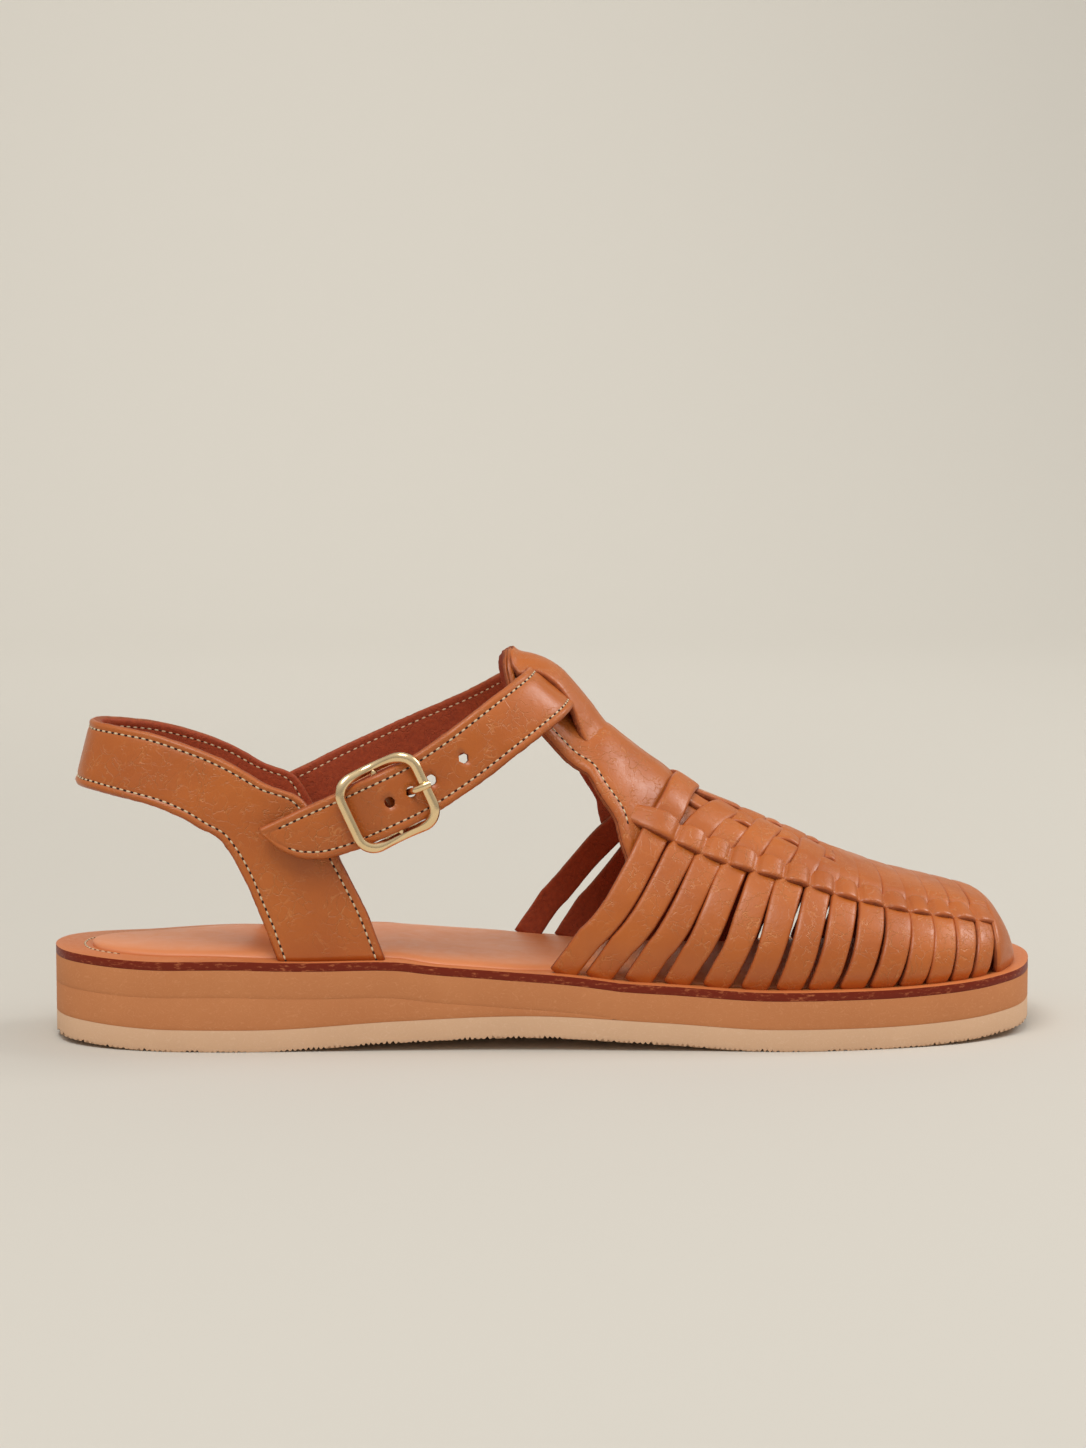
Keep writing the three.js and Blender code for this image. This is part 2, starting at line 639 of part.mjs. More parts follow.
function heelSling() {
  const n = PLAN_LINE.length;
  const normals = PLAN_LINE.map((p, i) => {
    const along = PLAN_LINE[(i + 1) % n].clone().sub(PLAN_LINE[(i + n - 1) % n]).normalize();
    return vector(along.y, -along.x, 0);
  });
  const half = Math.floor(n / 2);
  const order = range(n, (i) => (i + half) % n).filter((i) => PLAN_LINE[i].x < SLING_FRONT);
  const every = 6;
  const picked = order.filter((_, i) => i % every === 0 || i === order.length - 1);
  return loft(picked.map((i) => {
    const p = PLAN_LINE[i];
    const at = shareAt(p.x);
    const base = footbedTop(p.x);
    const low = Math.max(base + slingLow(at) * SLING_RISE, base + GAP);
    const high = Math.max(base + slingHigh(at) * SLING_RISE, low + 1);
    const place = (z, depth) => p.clone()
      .addScaledVector(normals[i], -slingInset(p.x, z) - depth)
      .setZ(z);
    return [place(low, 0), place(high, 0), place(high, SLING_WALL), place(low, SLING_WALL)];
  }));
}

// Ankle strap: middle of the strap from its seam on the inner side of the sling, over the
// instep and down to its tip on the outer side. x and z are shares of the sole length and of
// INSTEP_TOP. on says how far it lies off the sling's face, elsewhere y is in shares of reach.
const ANKLE_REACH = 33;
const ON_SLING = 2 * GAP + STRAP_WALL / 2;
const ON_TAB = 2.5 * GAP + 2 * TAB_STRIP + STRAP_WALL / 2;
const ANKLE = [
  { at: 0.237, high: 0.551, side: 1, on: ON_SLING },
  { at: 0.267, high: 0.585, side: 1, on: ON_SLING },
  { at: 0.3, high: 0.624, y: 0.92 },
  { at: 0.366, high: 0.698, y: 0.96 },
  { at: 0.437, high: 0.781, y: 0.84 },
  { at: 0.482, high: 0.855, y: 0.56 },
  { at: 0.498, high: 0.886, y: 0.29 },
  { at: 0.5012, high: 0.8905, y: 0 },
  { at: 0.4995, high: 0.889, y: -0.29 },
  { at: 0.489, high: 0.8775, y: -0.56 },
  { at: 0.444, high: 0.809, y: -0.85 },
  { at: 0.402, high: 0.736, y: -0.955 },
  { at: 0.3615, high: 0.669, y: -0.995 },
  { at: 0.33, high: 0.625, y: -1.0 },
  { at: 0.296, high: 0.583, y: -0.985 },
  { at: 0.262, high: 0.544, side: -1, on: ON_TAB },
  { at: 0.217, high: 0.492, side: -1, on: ON_TAB },
];
const FRAME_AT = 0.331;
const SLOPE_TOP = vector(0.64, 0, 0.77);

function anklePath() {
  const points = ANKLE.map((row) => {
    const x = xAt(row.at);
    const z = row.high * INSTEP_TOP;
    const y = row.side ? slingFace(x, z, row.side) + row.side * row.on : row.y * ANKLE_REACH;
    return vector(x, y, z);
  });
  return new THREE.CatmullRomCurve3(points, false, 'centripetal');
}
const ANKLE_LINE = anklePath();

// Axes of the strap at a share of its length: along, across to its upper edge, and out
function ankleFrame(share) {
  const point = ANKLE_LINE.getPointAt(share);
  const along = ANKLE_LINE.getTangentAt(share);
  const sideways = clamp(Math.abs(point.y) / (0.94 * ANKLE_REACH), 0, 1) ** 1.6;
  const lateral = vector(0, Math.sign(point.y), 0.04);
  const out = SLOPE_TOP.clone().multiplyScalar(1 - sideways).addScaledVector(lateral, sideways);
  out.addScaledVector(along, -out.dot(along)).normalize();
  const across = out.clone().cross(along).normalize();
  if (across.x > 0) across.negate();
  return { point, along, across, out };
}

// Share of the strap's length where it passes x on the outer side
function outerShare(x) {
  let low = 0.5;
  let high = 1;
  for (let i = 0; i < 30; i += 1) {
    const middle = (low + high) / 2;
    if (ANKLE_LINE.getPointAt(middle).x > x) low = middle;
    else high = middle;
  }
  return low;
}

const STRAP_LENGTH = ANKLE_LINE.getLength();
const FRAME_SHARE = outerShare(xAt(FRAME_AT));
const bulgeAt = (a) => {
  const half = FRAME_LENGTH / 2 - BAR / 2;
  return Math.abs(a) < half ? (STRAP_BULGE * (1 + Math.cos((Math.PI * a) / half))) / 2 : 0;
};

// The tip comes to a point on the upper edge
const TIP = [
  { at: -30, lower: -1 },
  { at: -22, lower: -0.98 },
  { at: -14, lower: -0.86 },
  { at: -8, lower: -0.56 },
  { at: -3, lower: 0.05 },
  { at: 0, lower: 0.85 },
];
const tipLower = curve(TIP, 'lower');

function ankleStrapSolid() {
  const frameAt = FRAME_SHARE * STRAP_LENGTH;
  const coarse = range(23, (i) => (i / 22) * (frameAt - 12));
  const inFrame = range(11, (i) => frameAt - 10 + 2 * i);
  const rest = STRAP_LENGTH - frameAt - 12;
  const tip = range(9, (i) => frameAt + 12 + (i / 8) * rest);
  const rows = [...coarse, ...inFrame, ...tip].map((length) => {
    const { point, across, out } = ankleFrame(clamp(length / STRAP_LENGTH, 0, 1));
    const lifted = point.clone().addScaledVector(out, bulgeAt(length - frameAt));
    const edges = [1, tipLower(length - STRAP_LENGTH)];
    return edges.map((e) => ({
      point: lifted.clone().addScaledVector(across, (e * STRAP_WIDTH) / 2),
      normal: out,
    }));
  });
  return solidOf(sheet(rows, () => STRAP_WALL));
}

// Buckle axes: a along the strap to the toe, b across to its upper edge, n out
function buckleMatrix() {
  const { point, along, across, out } = ankleFrame(FRAME_SHARE);
  return new THREE.Matrix4().makeBasis(along.clone().negate(), across, out).setPosition(point);
}
const BUCKLE = buckleMatrix();
const onBuckle = (geometry) => geometry.applyMatrix4(BUCKLE);

const BAR_CLEARANCE = 0.5;
const BAR_N = STRAP_WALL / 2 + BAR_CLEARANCE + BAR / 2;
const CENTRE_N = STRAP_BULGE - STRAP_WALL / 2 - GAP - TAB_STRIP - GAP - BAR / 2;
const HOLES = [0.6, 12.5, 22.5];
const PRONG_HOLE = 6.6;

function holeCutter(a, diameter) {
  const depth = 8 * STRAP_WALL;
  const cutter = new THREE.CylinderGeometry(diameter / 2, diameter / 2, depth, 10);
  cutter.rotateX(Math.PI / 2);
  const share = FRAME_SHARE - a / STRAP_LENGTH;
  const { point, along, across, out } = ankleFrame(share);
  const base = new THREE.Matrix4().makeBasis(along.clone().negate(), across, out).setPosition(point);
  return solidOf(cutter.applyMatrix4(base));
}

function ankleStrap() {
  const holes = HOLES.map((a) => holeCutter(a, HOLE_DIAMETER));
  const cutters = [...holes, holeCutter(PRONG_HOLE, HOLE_DIAMETER + 1)];
  return geometryOf(cutters.reduce((strap, hole) => strap.subtract(hole), ankleStrapSolid()));
}

// Round bar along points, given in buckle axes
function bar(points, diameter, sides, joined) {
  const n = points.length;
  const up = vector(0, 0, 1);
  return loft(points.map((p, i) => {
    const before = joined ? points[(i + n - 1) % n] : points[Math.max(i - 1, 0)];
    const after = joined ? points[(i + 1) % n] : points[Math.min(i + 1, n - 1)];
    const side = after.clone().sub(before).cross(up).normalize();
    const top = side.clone().cross(after.clone().sub(before)).normalize();
    return range(sides, (j) => {
      const turn = (2 * Math.PI * (j + 0.5)) / sides;
      return p.clone()
        .addScaledVector(side, Math.cos(turn) * diameter / 2)
        .addScaledVector(top, Math.sin(turn) * diameter / 2);
    });
  }), joined);
}

// Rounded frame whose long sides bow down to carry the centre bar under the strap
function buckleFrame() {
  const halfA = (FRAME_LENGTH - BAR) / 2;
  const halfB = (FRAME_WIDTH - BAR) / 2;
  const corner = FRAME_CORNER - BAR / 2;
  const bow = (a) => BAR_N - ((BAR_N - CENTRE_N) * (1 + Math.cos((Math.PI * a) / halfA))) / 2;
  const outline = new THREE.Path();
  outline.absarc(halfA - corner, halfB - corner, corner, 0, Math.PI / 2);
  outline.absarc(-halfA + corner, halfB - corner, corner, Math.PI / 2, Math.PI);
  outline.absarc(-halfA + corner, -halfB + corner, corner, Math.PI, 1.5 * Math.PI);
  outline.absarc(halfA - corner, -halfB + corner, corner, 1.5 * Math.PI, 2 * Math.PI);
  outline.closePath();
  const flat = outline.getSpacedPoints(32).slice(0, 32);
  const ring = solidOf(bar(flat.map((p) => vector(p.x, p.y, bow(p.x))), BAR, 6, true));
  const ends = [-halfB, halfB].map((b) => vector(0, b, CENTRE_N));
  const centre = solidOf(bar([ends[0], vector(0, 0, CENTRE_N), ends[1]], BAR, 6, false));
  return onBuckle(geometryOf(ring.add(centre)));
}

// Ring round the centre bar, drawn in the plane of a and n
function barRing(inner, outer, width) {
  const shape = new THREE.Shape();
  shape.absarc(0, 0, outer, 0, 2 * Math.PI);
  const hole = new THREE.Path();
  hole.absarc(0, 0, inner, 0, 2 * Math.PI);
  shape.holes.push(hole);
  const options = { depth: width, bevelEnabled: false, curveSegments: 7 };
  const ring = new THREE.ExtrudeGeometry(shape, options);
  ring.translate(0, 0, -width / 2);
  ring.rotateX(Math.PI / 2);
  return ring.translate(0, 0, CENTRE_N);
}

const PRONG_PATH = [
  { a: 3.6, n: -1.0 },
  { a: 5.0, n: -0.6 },
  { a: 6.1, n: 0.5 },
  { a: 6.9, n: 2.0 },
  { a: 7.6, n: 3.4 },
  { a: 8.8, n: 4.35 },
  { a: 10.4, n: 4.7 },
  { a: 11.9, n: 4.5 },
];

function buckleProng() {
  const inner = BAR / 2 + GAP;
  const ring = solidOf(barRing(inner, inner + TAB_STRIP, 2.4));
  const rest = BAR_N + BAR / 2 + GAP + PRONG / 2;
  const rod = PRONG_PATH.map(({ a, n }) => vector(a, 0, n > 4 ? n - 4.7 + rest : n));
  const first = vector(inner + TAB_STRIP / 2, 0, CENTRE_N);
  const solid = solidOf(bar([first, ...rod], PRONG, 8, false));
  const clear = solidOf(new THREE.CylinderGeometry(inner, inner, 4, 28).translate(0, 0, CENTRE_N));
  return onBuckle(geometryOf(ring.add(solid.subtract(clear))));
}

// Leather loop: an eye round the centre bar, slotted for the prong, and a tail on the sling
const TAB_END = -21.5;

function buckleTab() {
  const inner = BAR / 2 + GAP;
  const eye = solidOf(barRing(inner, inner + TAB_STRIP, TAB_WIDTH));
  const frameAt = FRAME_SHARE * STRAP_LENGTH;
  const depth = STRAP_WALL / 2 + GAP + TAB_STRIP;
  const steps = [-6, -9, -12, -15, -18, TAB_END];
  const inverse = BUCKLE.clone().invert();
  const tail = steps.map((a) => {
    const { point, out } = ankleFrame((frameAt - a) / STRAP_LENGTH);
    return point.clone().addScaledVector(out, -depth).applyMatrix4(inverse);
  });
  const root = vector(-inner - TAB_STRIP / 2, 0, CENTRE_N);
  const path = [root, ...tail].map((p) => ({ point: p, normal: vector(0, 0, 1), half: TAB_WIDTH / 2 }));
  const strip = solidOf(ribbon(path, 2 * TAB_STRIP));
  const clear = solidOf(new THREE.CylinderGeometry(inner, inner, 2 * TAB_WIDTH, 28)
    .translate(0, 0, CENTRE_N));
  const slot = new THREE.BoxGeometry(8, 4, 8).translate(1.2, 0, CENTRE_N);
  const solid = strip.subtract(clear).add(eye).subtract(solidOf(slot));
  return onBuckle(geometryOf(solid));
}

// Finishes
const LEATHER = { color: 0xb5602f, roughness: 0.5, metalness: 0 };
const FOOTBED_LEATHER = { color: 0x8c3f25, roughness: 0.5, metalness: 0 };
const SOCK_LEATHER = { color: 0xc98563, roughness: 0.45, metalness: 0 };
const TAN_LAYER = { color: 0xc08a5c, roughness: 0.8, metalness: 0 };
const PALE_LAYER = { color: 0xd2b592, roughness: 0.85, metalness: 0 };
const BRASS = { color: 0xd9b878, roughness: 0.2, metalness: 1 };

const sandal = new THREE.Group();

function piece(name, geometry, finish) {
  const mesh = new THREE.Mesh(geometry, new THREE.MeshStandardMaterial(finish));
  mesh.name = name;
  sandal.add(mesh);
}

const wedgeTop = (x) => midsoleBase(x) - GAP;
const wedgeBase = (x) => outsoleTop(x) + GAP;

piece('outsole', layer(PLAN_LINE, 38, bottomAt, outsoleTop), PALE_LAYER);
piece('heel_wedge', layer(PLAN_LINE, 30, wedgeBase, wedgeTop, xAt(WEDGE_END)), TAN_LAYER);
piece('midsole', layer(PLAN_LINE, 38, midsoleBase, midsoleTop), TAN_LAYER);
piece('footbed', layer(PLAN_LINE, 38, (x) => midsoleTop(x) + GAP, footbedTop), FOOTBED_LEATHER);
piece('insole', insole(), SOCK_LEATHER);
piece('woven_upper', wovenUpper(), LEATHER);
piece('heel_sling', heelSling(), LEATHER);
piece('ankle_strap', ankleStrap(), LEATHER);
piece('buckle_frame', buckleFrame(), BRASS);
piece('buckle_prong', buckleProng(), BRASS);
piece('buckle_tab', buckleTab(), LEATHER);

export default sandal;
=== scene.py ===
import math
from bisect import bisect

import bmesh
import bpy
from mathutils import Matrix, Vector, noise


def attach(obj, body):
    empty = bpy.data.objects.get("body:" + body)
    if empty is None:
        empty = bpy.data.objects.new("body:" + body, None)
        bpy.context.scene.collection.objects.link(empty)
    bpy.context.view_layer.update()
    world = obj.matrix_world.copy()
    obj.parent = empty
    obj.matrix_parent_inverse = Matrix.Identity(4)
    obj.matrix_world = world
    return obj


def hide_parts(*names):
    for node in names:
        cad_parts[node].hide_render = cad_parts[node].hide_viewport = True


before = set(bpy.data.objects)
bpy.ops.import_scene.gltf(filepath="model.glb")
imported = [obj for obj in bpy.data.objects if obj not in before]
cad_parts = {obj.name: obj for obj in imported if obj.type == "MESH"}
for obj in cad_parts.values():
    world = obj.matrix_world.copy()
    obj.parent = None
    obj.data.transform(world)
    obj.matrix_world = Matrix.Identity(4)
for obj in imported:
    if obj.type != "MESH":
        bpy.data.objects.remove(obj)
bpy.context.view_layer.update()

MM = 0.001


# The studio: one pale sweep of paper under and behind the sandal, a long lens from the outer side
# a little over the sole, a large soft light above and behind the camera and a weaker one at the toe.
def add_node(material, kind, inputs=None, **settings):
    """Adds a shader node. Inputs are values or the sockets that feed them."""
    node = material.node_tree.nodes.new(kind)
    for name, value in settings.items():
        setattr(node, name, value)
    for name, value in (inputs or {}).items():
        if isinstance(value, bpy.types.NodeSocket):
            material.node_tree.links.new(value, node.inputs[name])
        else:
            node.inputs[name].default_value = value
    return node


def new_material(name, **sockets):
    """Material with one Principled shader, and constants on the shader's own sockets."""
    material = bpy.data.materials.new(name)
    material.use_nodes = True
    shader = material.node_tree.nodes["Principled BSDF"]
    for socket, value in sockets.items():
        shader.inputs[socket.replace("_", " ")].default_value = value
    return material, shader


def feed(material, shader, **sockets):
    for socket, value in sockets.items():
        material.node_tree.links.new(value, shader.inputs[socket.replace("_", " ")])


PAPER_TONE = (0.615, 0.585, 0.525, 1)
SWEEP_WIDTH = 7.0
SWEEP_FRONT = -2.5
SWEEP_BEND = 1.3
SWEEP_RADIUS = 1.2
SWEEP_HEIGHT = 4.0


def paper_sweep():
    bm = bmesh.new()
    start = bm.verts.new((-SWEEP_WIDTH / 2, SWEEP_FRONT, 0))
    end = bm.verts.new((-SWEEP_WIDTH / 2, SWEEP_BEND, 0))
    bm.edges.new((start, end))
    centre = Vector((0, SWEEP_BEND, SWEEP_RADIUS))
    bmesh.ops.spin(bm, geom=[end], cent=centre, axis=(1, 0, 0), angle=math.pi / 2, steps=24,
                   use_duplicate=False)
    top = max(bm.verts, key=lambda v: (v.co.z, v.co.y))
    made = bmesh.ops.extrude_vert_indiv(bm, verts=[top])
    bmesh.ops.translate(bm, verts=made["verts"], vec=(0, 0, SWEEP_HEIGHT))
    made = bmesh.ops.extrude_edge_only(bm, edges=bm.edges[:])
    bmesh.ops.translate(bm, verts=[v for v in made["geom"] if isinstance(v, bmesh.types.BMVert)],
                        vec=(SWEEP_WIDTH, 0, 0))
    bmesh.ops.recalc_face_normals(bm, faces=bm.faces[:])
    mesh = bpy.data.meshes.new("paper_sweep")
    bm.to_mesh(mesh)
    bm.free()
    mesh.shade_smooth()
    sweep = bpy.data.objects.new("paper_sweep", mesh)
    bpy.context.scene.collection.objects.link(sweep)
    material, shader = new_material("studio_paper", Base_Color=PAPER_TONE, Roughness=0.9)
    mesh.materials.append(material)


paper_sweep()

camera_data = bpy.data.cameras.new("camera")
camera_data.lens = 85
camera_data.sensor_width = 36
camera = bpy.data.objects.new("camera", camera_data)
camera.location = (-0.0798, -0.9, 0.1726)
camera.rotation_euler = (math.radians(84.2), 0, math.radians(-5))
bpy.context.scene.collection.objects.link(camera)
bpy.context.scene.camera = camera
bpy.context.scene.view_settings.view_transform = "Standard"


def soft_light(name, place, aim, size, power, tone):
    data = bpy.data.lights.new(name, "AREA")
    data.shape = "DISK"
    data.size = size
    data.energy = power
    data.color = tone
    light = bpy.data.objects.new(name, data)
    light.location = place
    light.rotation_euler = (Vector(aim) - Vector(place)).to_track_quat("-Z", "Y").to_euler()
    bpy.context.scene.collection.objects.link(light)


soft_light("key_light", (-0.3, -0.6, 1.3), (0, 0, 0.03), 0.8, 9.5, (1, 0.975, 0.94))
soft_light("toe_light", (0.95, 0.1, 0.8), (0.05, 0, 0.04), 0.5, 4.5, (1, 0.98, 0.96))
soft_light("paper_light", (0, 1.0, 1.5), (0, 2.5, 0.5), 1.2, 14, (1, 0.98, 0.95))
world = bpy.data.worlds.new("studio")
world.use_nodes = True
sky = world.node_tree.nodes["Background"]
sky.inputs["Color"].default_value = (1, 0.985, 0.96, 1)
direction = add_node(world, "ShaderNodeTexCoord").outputs["Generated"]
height = add_node(world, "ShaderNodeSeparateXYZ", {0: direction}).outputs["Z"]
feed(world, sky, Strength=add_node(world, "ShaderNodeMapRange", {
    "Value": height, "From Min": -0.1, "From Max": 0.75, "To Min": 0.26, "To Max": 0.68}).outputs[0])
bpy.context.scene.world = world


# Outsole: one sheet of pale foam rubber, cut to the sole's outline and glued on from below. Its
# underside is ribbed across, so its lower edge is finely ragged, and the rest is sanded smooth.
SOLE_LENGTH = 260 * MM
BALL_WIDTH = 88 * MM
OUTSOLE = 5.7 * MM
HEEL_LIFT = 1.6 * MM
ARCH_GAP = 3.3 * MM
TOE_SPRING = 2.8 * MM
OUTLINE_POINTS = 1440
SLICES = 56
RIB = 0.95 * MM
RIB_PITCH = 1.35 * MM

HEEL_TIP = (0, -0.017)
TOE_TIP = (1, 0.023)
PLAN = (
    (0.012, 0.165, 0.125), (0.046, 0.261, 0.222), (0.104, 0.33, 0.29), (0.165, 0.359, 0.33),
    (0.235, 0.369, 0.352), (0.327, 0.381, 0.364), (0.423, 0.398, 0.361), (0.5, 0.42, 0.359),
    (0.569, 0.443, 0.375), (0.646, 0.466, 0.426), (0.731, 0.497, 0.483), (0.781, 0.493, 0.5),
    (0.846, 0.466, 0.489), (0.904, 0.42, 0.449), (0.946, 0.349, 0.386), (0.973, 0.273, 0.312),
    (0.99, 0.159, 0.205),
)


def x_at(share):
    return (share - 0.5) * SOLE_LENGTH


def share_at(x):
    return x / SOLE_LENGTH + 0.5


def curve(rows):
    """Smooth curve through rows of place and value that never swings past them."""
    xs = [row[0] for row in rows]
    ys = [row[1] for row in rows]
    steps = [(ys[i + 1] - ys[i]) / (xs[i + 1] - xs[i]) for i in range(len(xs) - 1)]
    inner = [0 if a * b <= 0 else 2 * a * b / (a + b) for a, b in zip(steps, steps[1:])]
    slopes = [steps[0], *inner, steps[-1]]

    def value(place):
        v = min(max(place, xs[0]), xs[-1])
        i = max(0, min(bisect(xs, v) - 1, len(xs) - 2))
        width = xs[i + 1] - xs[i]
        t = (v - xs[i]) / width
        ends = ys[i] * (1 + 2 * t) * (1 - t) ** 2 + ys[i + 1] * (3 - 2 * t) * t * t
        return ends + width * t * (1 - t) * (slopes[i] * (1 - t) - slopes[i + 1] * t)

    return value


def rounded_path(points, steps, closed):
    """Points along a centripetal curve through the given points."""
    n = len(points)
    first = points[0] * 2 - points[1]
    last = points[-1] * 2 - points[-2]
    path = []
    for i in range(n if closed else n - 1):
        a = points[i - 1] if closed or i > 0 else first
        b = points[i]
        c = points[(i + 1) % n]
        d = points[(i + 2) % n] if closed or i < n - 2 else last
        t1 = (b - a).length ** 0.5
        t2 = t1 + (c - b).length ** 0.5
        t3 = t2 + (d - c).length ** 0.5
        for k in range(steps):
            t = t1 + (t2 - t1) * k / steps
            ab, bc, cd = a.lerp(b, t / t1), b.lerp(c, (t - t1) / (t2 - t1)), c.lerp(d, (t - t2) / (t3 - t2))
            path.append(ab.lerp(bc, t / t2).lerp(bc.lerp(cd, (t - t1) / (t3 - t1)), (t - t1) / (t2 - t1)))
    return path if closed else [*path, points[-1]]


def evenly(path, count, closed=False):
    """The path again with points at even distances."""
    line = [*path, path[0]] if closed else path
    lengths = [0]
    for a, b in zip(line, line[1:]):
        lengths.append(lengths[-1] + (b - a).length)
    even = []
    for k in range(count):
        want = lengths[-1] * k / (count if closed else count - 1)
        i = max(0, min(bisect(lengths, want) - 1, len(line) - 2))
        even.append(line[i].lerp(line[i + 1], (want - lengths[i]) / (lengths[i + 1] - lengths[i])))
    return even


def sole_outline():
    outer = [Vector((x_at(at), -out * BALL_WIDTH, 0)) for at, out, _ in PLAN]
    inner = [Vector((x_at(at), inn * BALL_WIDTH, 0)) for at, _, inn in reversed(PLAN)]
    heel = Vector((x_at(HEEL_TIP[0]), HEEL_TIP[1] * BALL_WIDTH, 0))
    toe = Vector((x_at(TOE_TIP[0]), TOE_TIP[1] * BALL_WIDTH, 0))
    return evenly(rounded_path([heel, *outer, toe, *inner], 40, True), OUTLINE_POINTS, True)


def inset(outline, distance_at):
    """The outline moved in by a distance that may change along the sole."""
    moved = []
    for i, p in enumerate(outline):
        along = (outline[(i + 1) % len(outline)] - outline[i - 1]).normalized()
        distance = distance_at(p.x)
        moved.append(Vector((p.x - along.y * distance, p.y + along.x * distance, 0)))
    return moved


def sides_of(outline):
    """Gives the outline's y on the outer and the inner side at x."""
    toe = max(range(len(outline)), key=lambda i: outline[i].x)
    heel = min(range(len(outline)), key=lambda i: outline[i].x)
    ring = outline[heel:] + outline[:heel]
    turn = (toe - heel) % len(outline)
    tables = []
    for side in (ring[:turn + 1], [ring[0], *reversed(ring[turn:])]):
        ordered = sorted(side, key=lambda p: p.x)
        tables.append(([p.x for p in ordered], [p.y for p in ordered]))

    def at(x):
        found = []
        for xs, ys in tables:
            i = max(1, min(bisect(xs, x), len(xs) - 1))
            width = xs[i] - xs[i - 1]
            t = min(max((x - xs[i - 1]) / width, 0), 1) if width > 1e-9 else 0
            found.append(ys[i - 1] + (ys[i] - ys[i - 1]) * t)
        return found

    return at


OUTLINE = sole_outline()
bottom_share = curve((
    (0, HEEL_LIFT), (0.115, 0), (0.2, 0), (0.34, 0.62 * ARCH_GAP), (0.47, ARCH_GAP),
    (0.6, 0.5 * ARCH_GAP), (0.71, 0), (0.81, 0), (0.915, 0.3 * TOE_SPRING), (1, TOE_SPRING),
))


def bottom_at(x):
    return bottom_share(share_at(x))


def outsole_top(x):
    return bottom_at(x) + OUTSOLE


def finish_piece(bm, name, material, nodes):
    """Makes the piece's object, gives it its finish and lets it stand for its nodes."""
    mesh = bpy.data.meshes.new(name)
    bm.to_mesh(mesh)
    bm.free()
    mesh.shade_smooth()
    piece = bpy.data.objects.new(name, mesh)
    bpy.context.scene.collection.objects.link(piece)
    mesh.materials.append(material)
    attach(piece, "root")
    if nodes:
        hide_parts(*nodes)
    return piece


def sole_layer(outline, low_at, high_at, edge, ragged=0, reach=None):
    """Slab between two heights along the sole, with softened rims and a ribbed lower one."""
    bm = bmesh.new()
    bm.faces.new([bm.verts.new(p) for p in outline])
    for k in range(1, SLICES):
        bmesh.ops.bisect_plane(bm, geom=[*bm.verts, *bm.edges, *bm.faces], dist=1e-6,
                               plane_co=(x_at(k / SLICES), 0, 0), plane_no=(1, 0, 0))
    if reach:
        bmesh.ops.bisect_plane(bm, geom=[*bm.verts, *bm.edges, *bm.faces], dist=1e-6,
                               plane_co=(reach, 0, 0), plane_no=(1, 0, 0), clear_outer=True)
    raised = bmesh.ops.extrude_face_region(bm, geom=bm.faces[:])["geom"]
    top = [v for v in raised if isinstance(v, bmesh.types.BMVert)]
    bmesh.ops.translate(bm, verts=top, vec=(0, 0, 1))
    bmesh.ops.recalc_face_normals(bm, faces=bm.faces[:])
    upright = [e for e in bm.edges if abs(e.verts[0].co.z - e.verts[1].co.z) > 0.5]
    walls = {f for e in upright for f in e.link_faces}
    rims = {e for f in walls for e in f.edges} - set(upright)
    made = bmesh.ops.subdivide_edges(bm, edges=upright, cuts=1)
    support = {v for v in made["geom_inner"] if isinstance(v, bmesh.types.BMVert)}
    for v in bm.verts:
        low, high = low_at(v.co.x), high_at(v.co.x)
        v.co.z = min(low + 1 * MM, (low + high) / 2) if v in support else high if v.co.z > 0.5 else low
    rims = [e for e in rims if e.is_valid]
    bmesh.ops.bevel(bm, geom=rims, offset=edge, offset_type="OFFSET", segments=2, profile=0.5,
                    material=-1, affect="EDGES", clamp_overlap=True)
    for v in bm.verts if ragged else ():
        if v.co.z < low_at(v.co.x) + 2 * edge:
            phase = v.co.x * 2 * math.pi / RIB_PITCH + 2.5 * noise.noise(v.co * 180)
            depth = 0.55 + 0.7 * noise.noise(v.co * 260 + Vector((3, 0, 0)))
            v.co.z += ragged * max(0, 0.35 + math.sin(phase)) * max(0.15, depth) / 1.35
    return bm


def noisy(material, place, scale, detail, **more):
    """Noise at a place, as a factor."""
    return add_node(material, "ShaderNodeTexNoise", {
        "Vector": place, "Scale": scale, "Detail": detail, **more}).outputs["Fac"]


def ranged(material, value, low, high, start=0, end=1):
    """The value's range from low to high, spread from start to end."""
    return add_node(material, "ShaderNodeMapRange", {
        "Value": value, "From Min": low, "From Max": high, "To Min": start, "To Max": end}).outputs[0]


def mixed(material, factor, a, b, kind="RGBA"):
    node = add_node(material, "ShaderNodeMix", {"Factor": factor, "A": a, "B": b}, data_type=kind)
    return node.outputs[("FLOAT", "VECTOR", "RGBA").index(kind)]


def reckoned(material, operation, *values):
    return add_node(material, "ShaderNodeMath", dict(enumerate(values)), operation=operation).outputs[0]


def bumped(material, height, strength, distance):
    return add_node(material, "ShaderNodeBump", {
        "Height": height, "Strength": strength, "Distance": distance}).outputs[0]


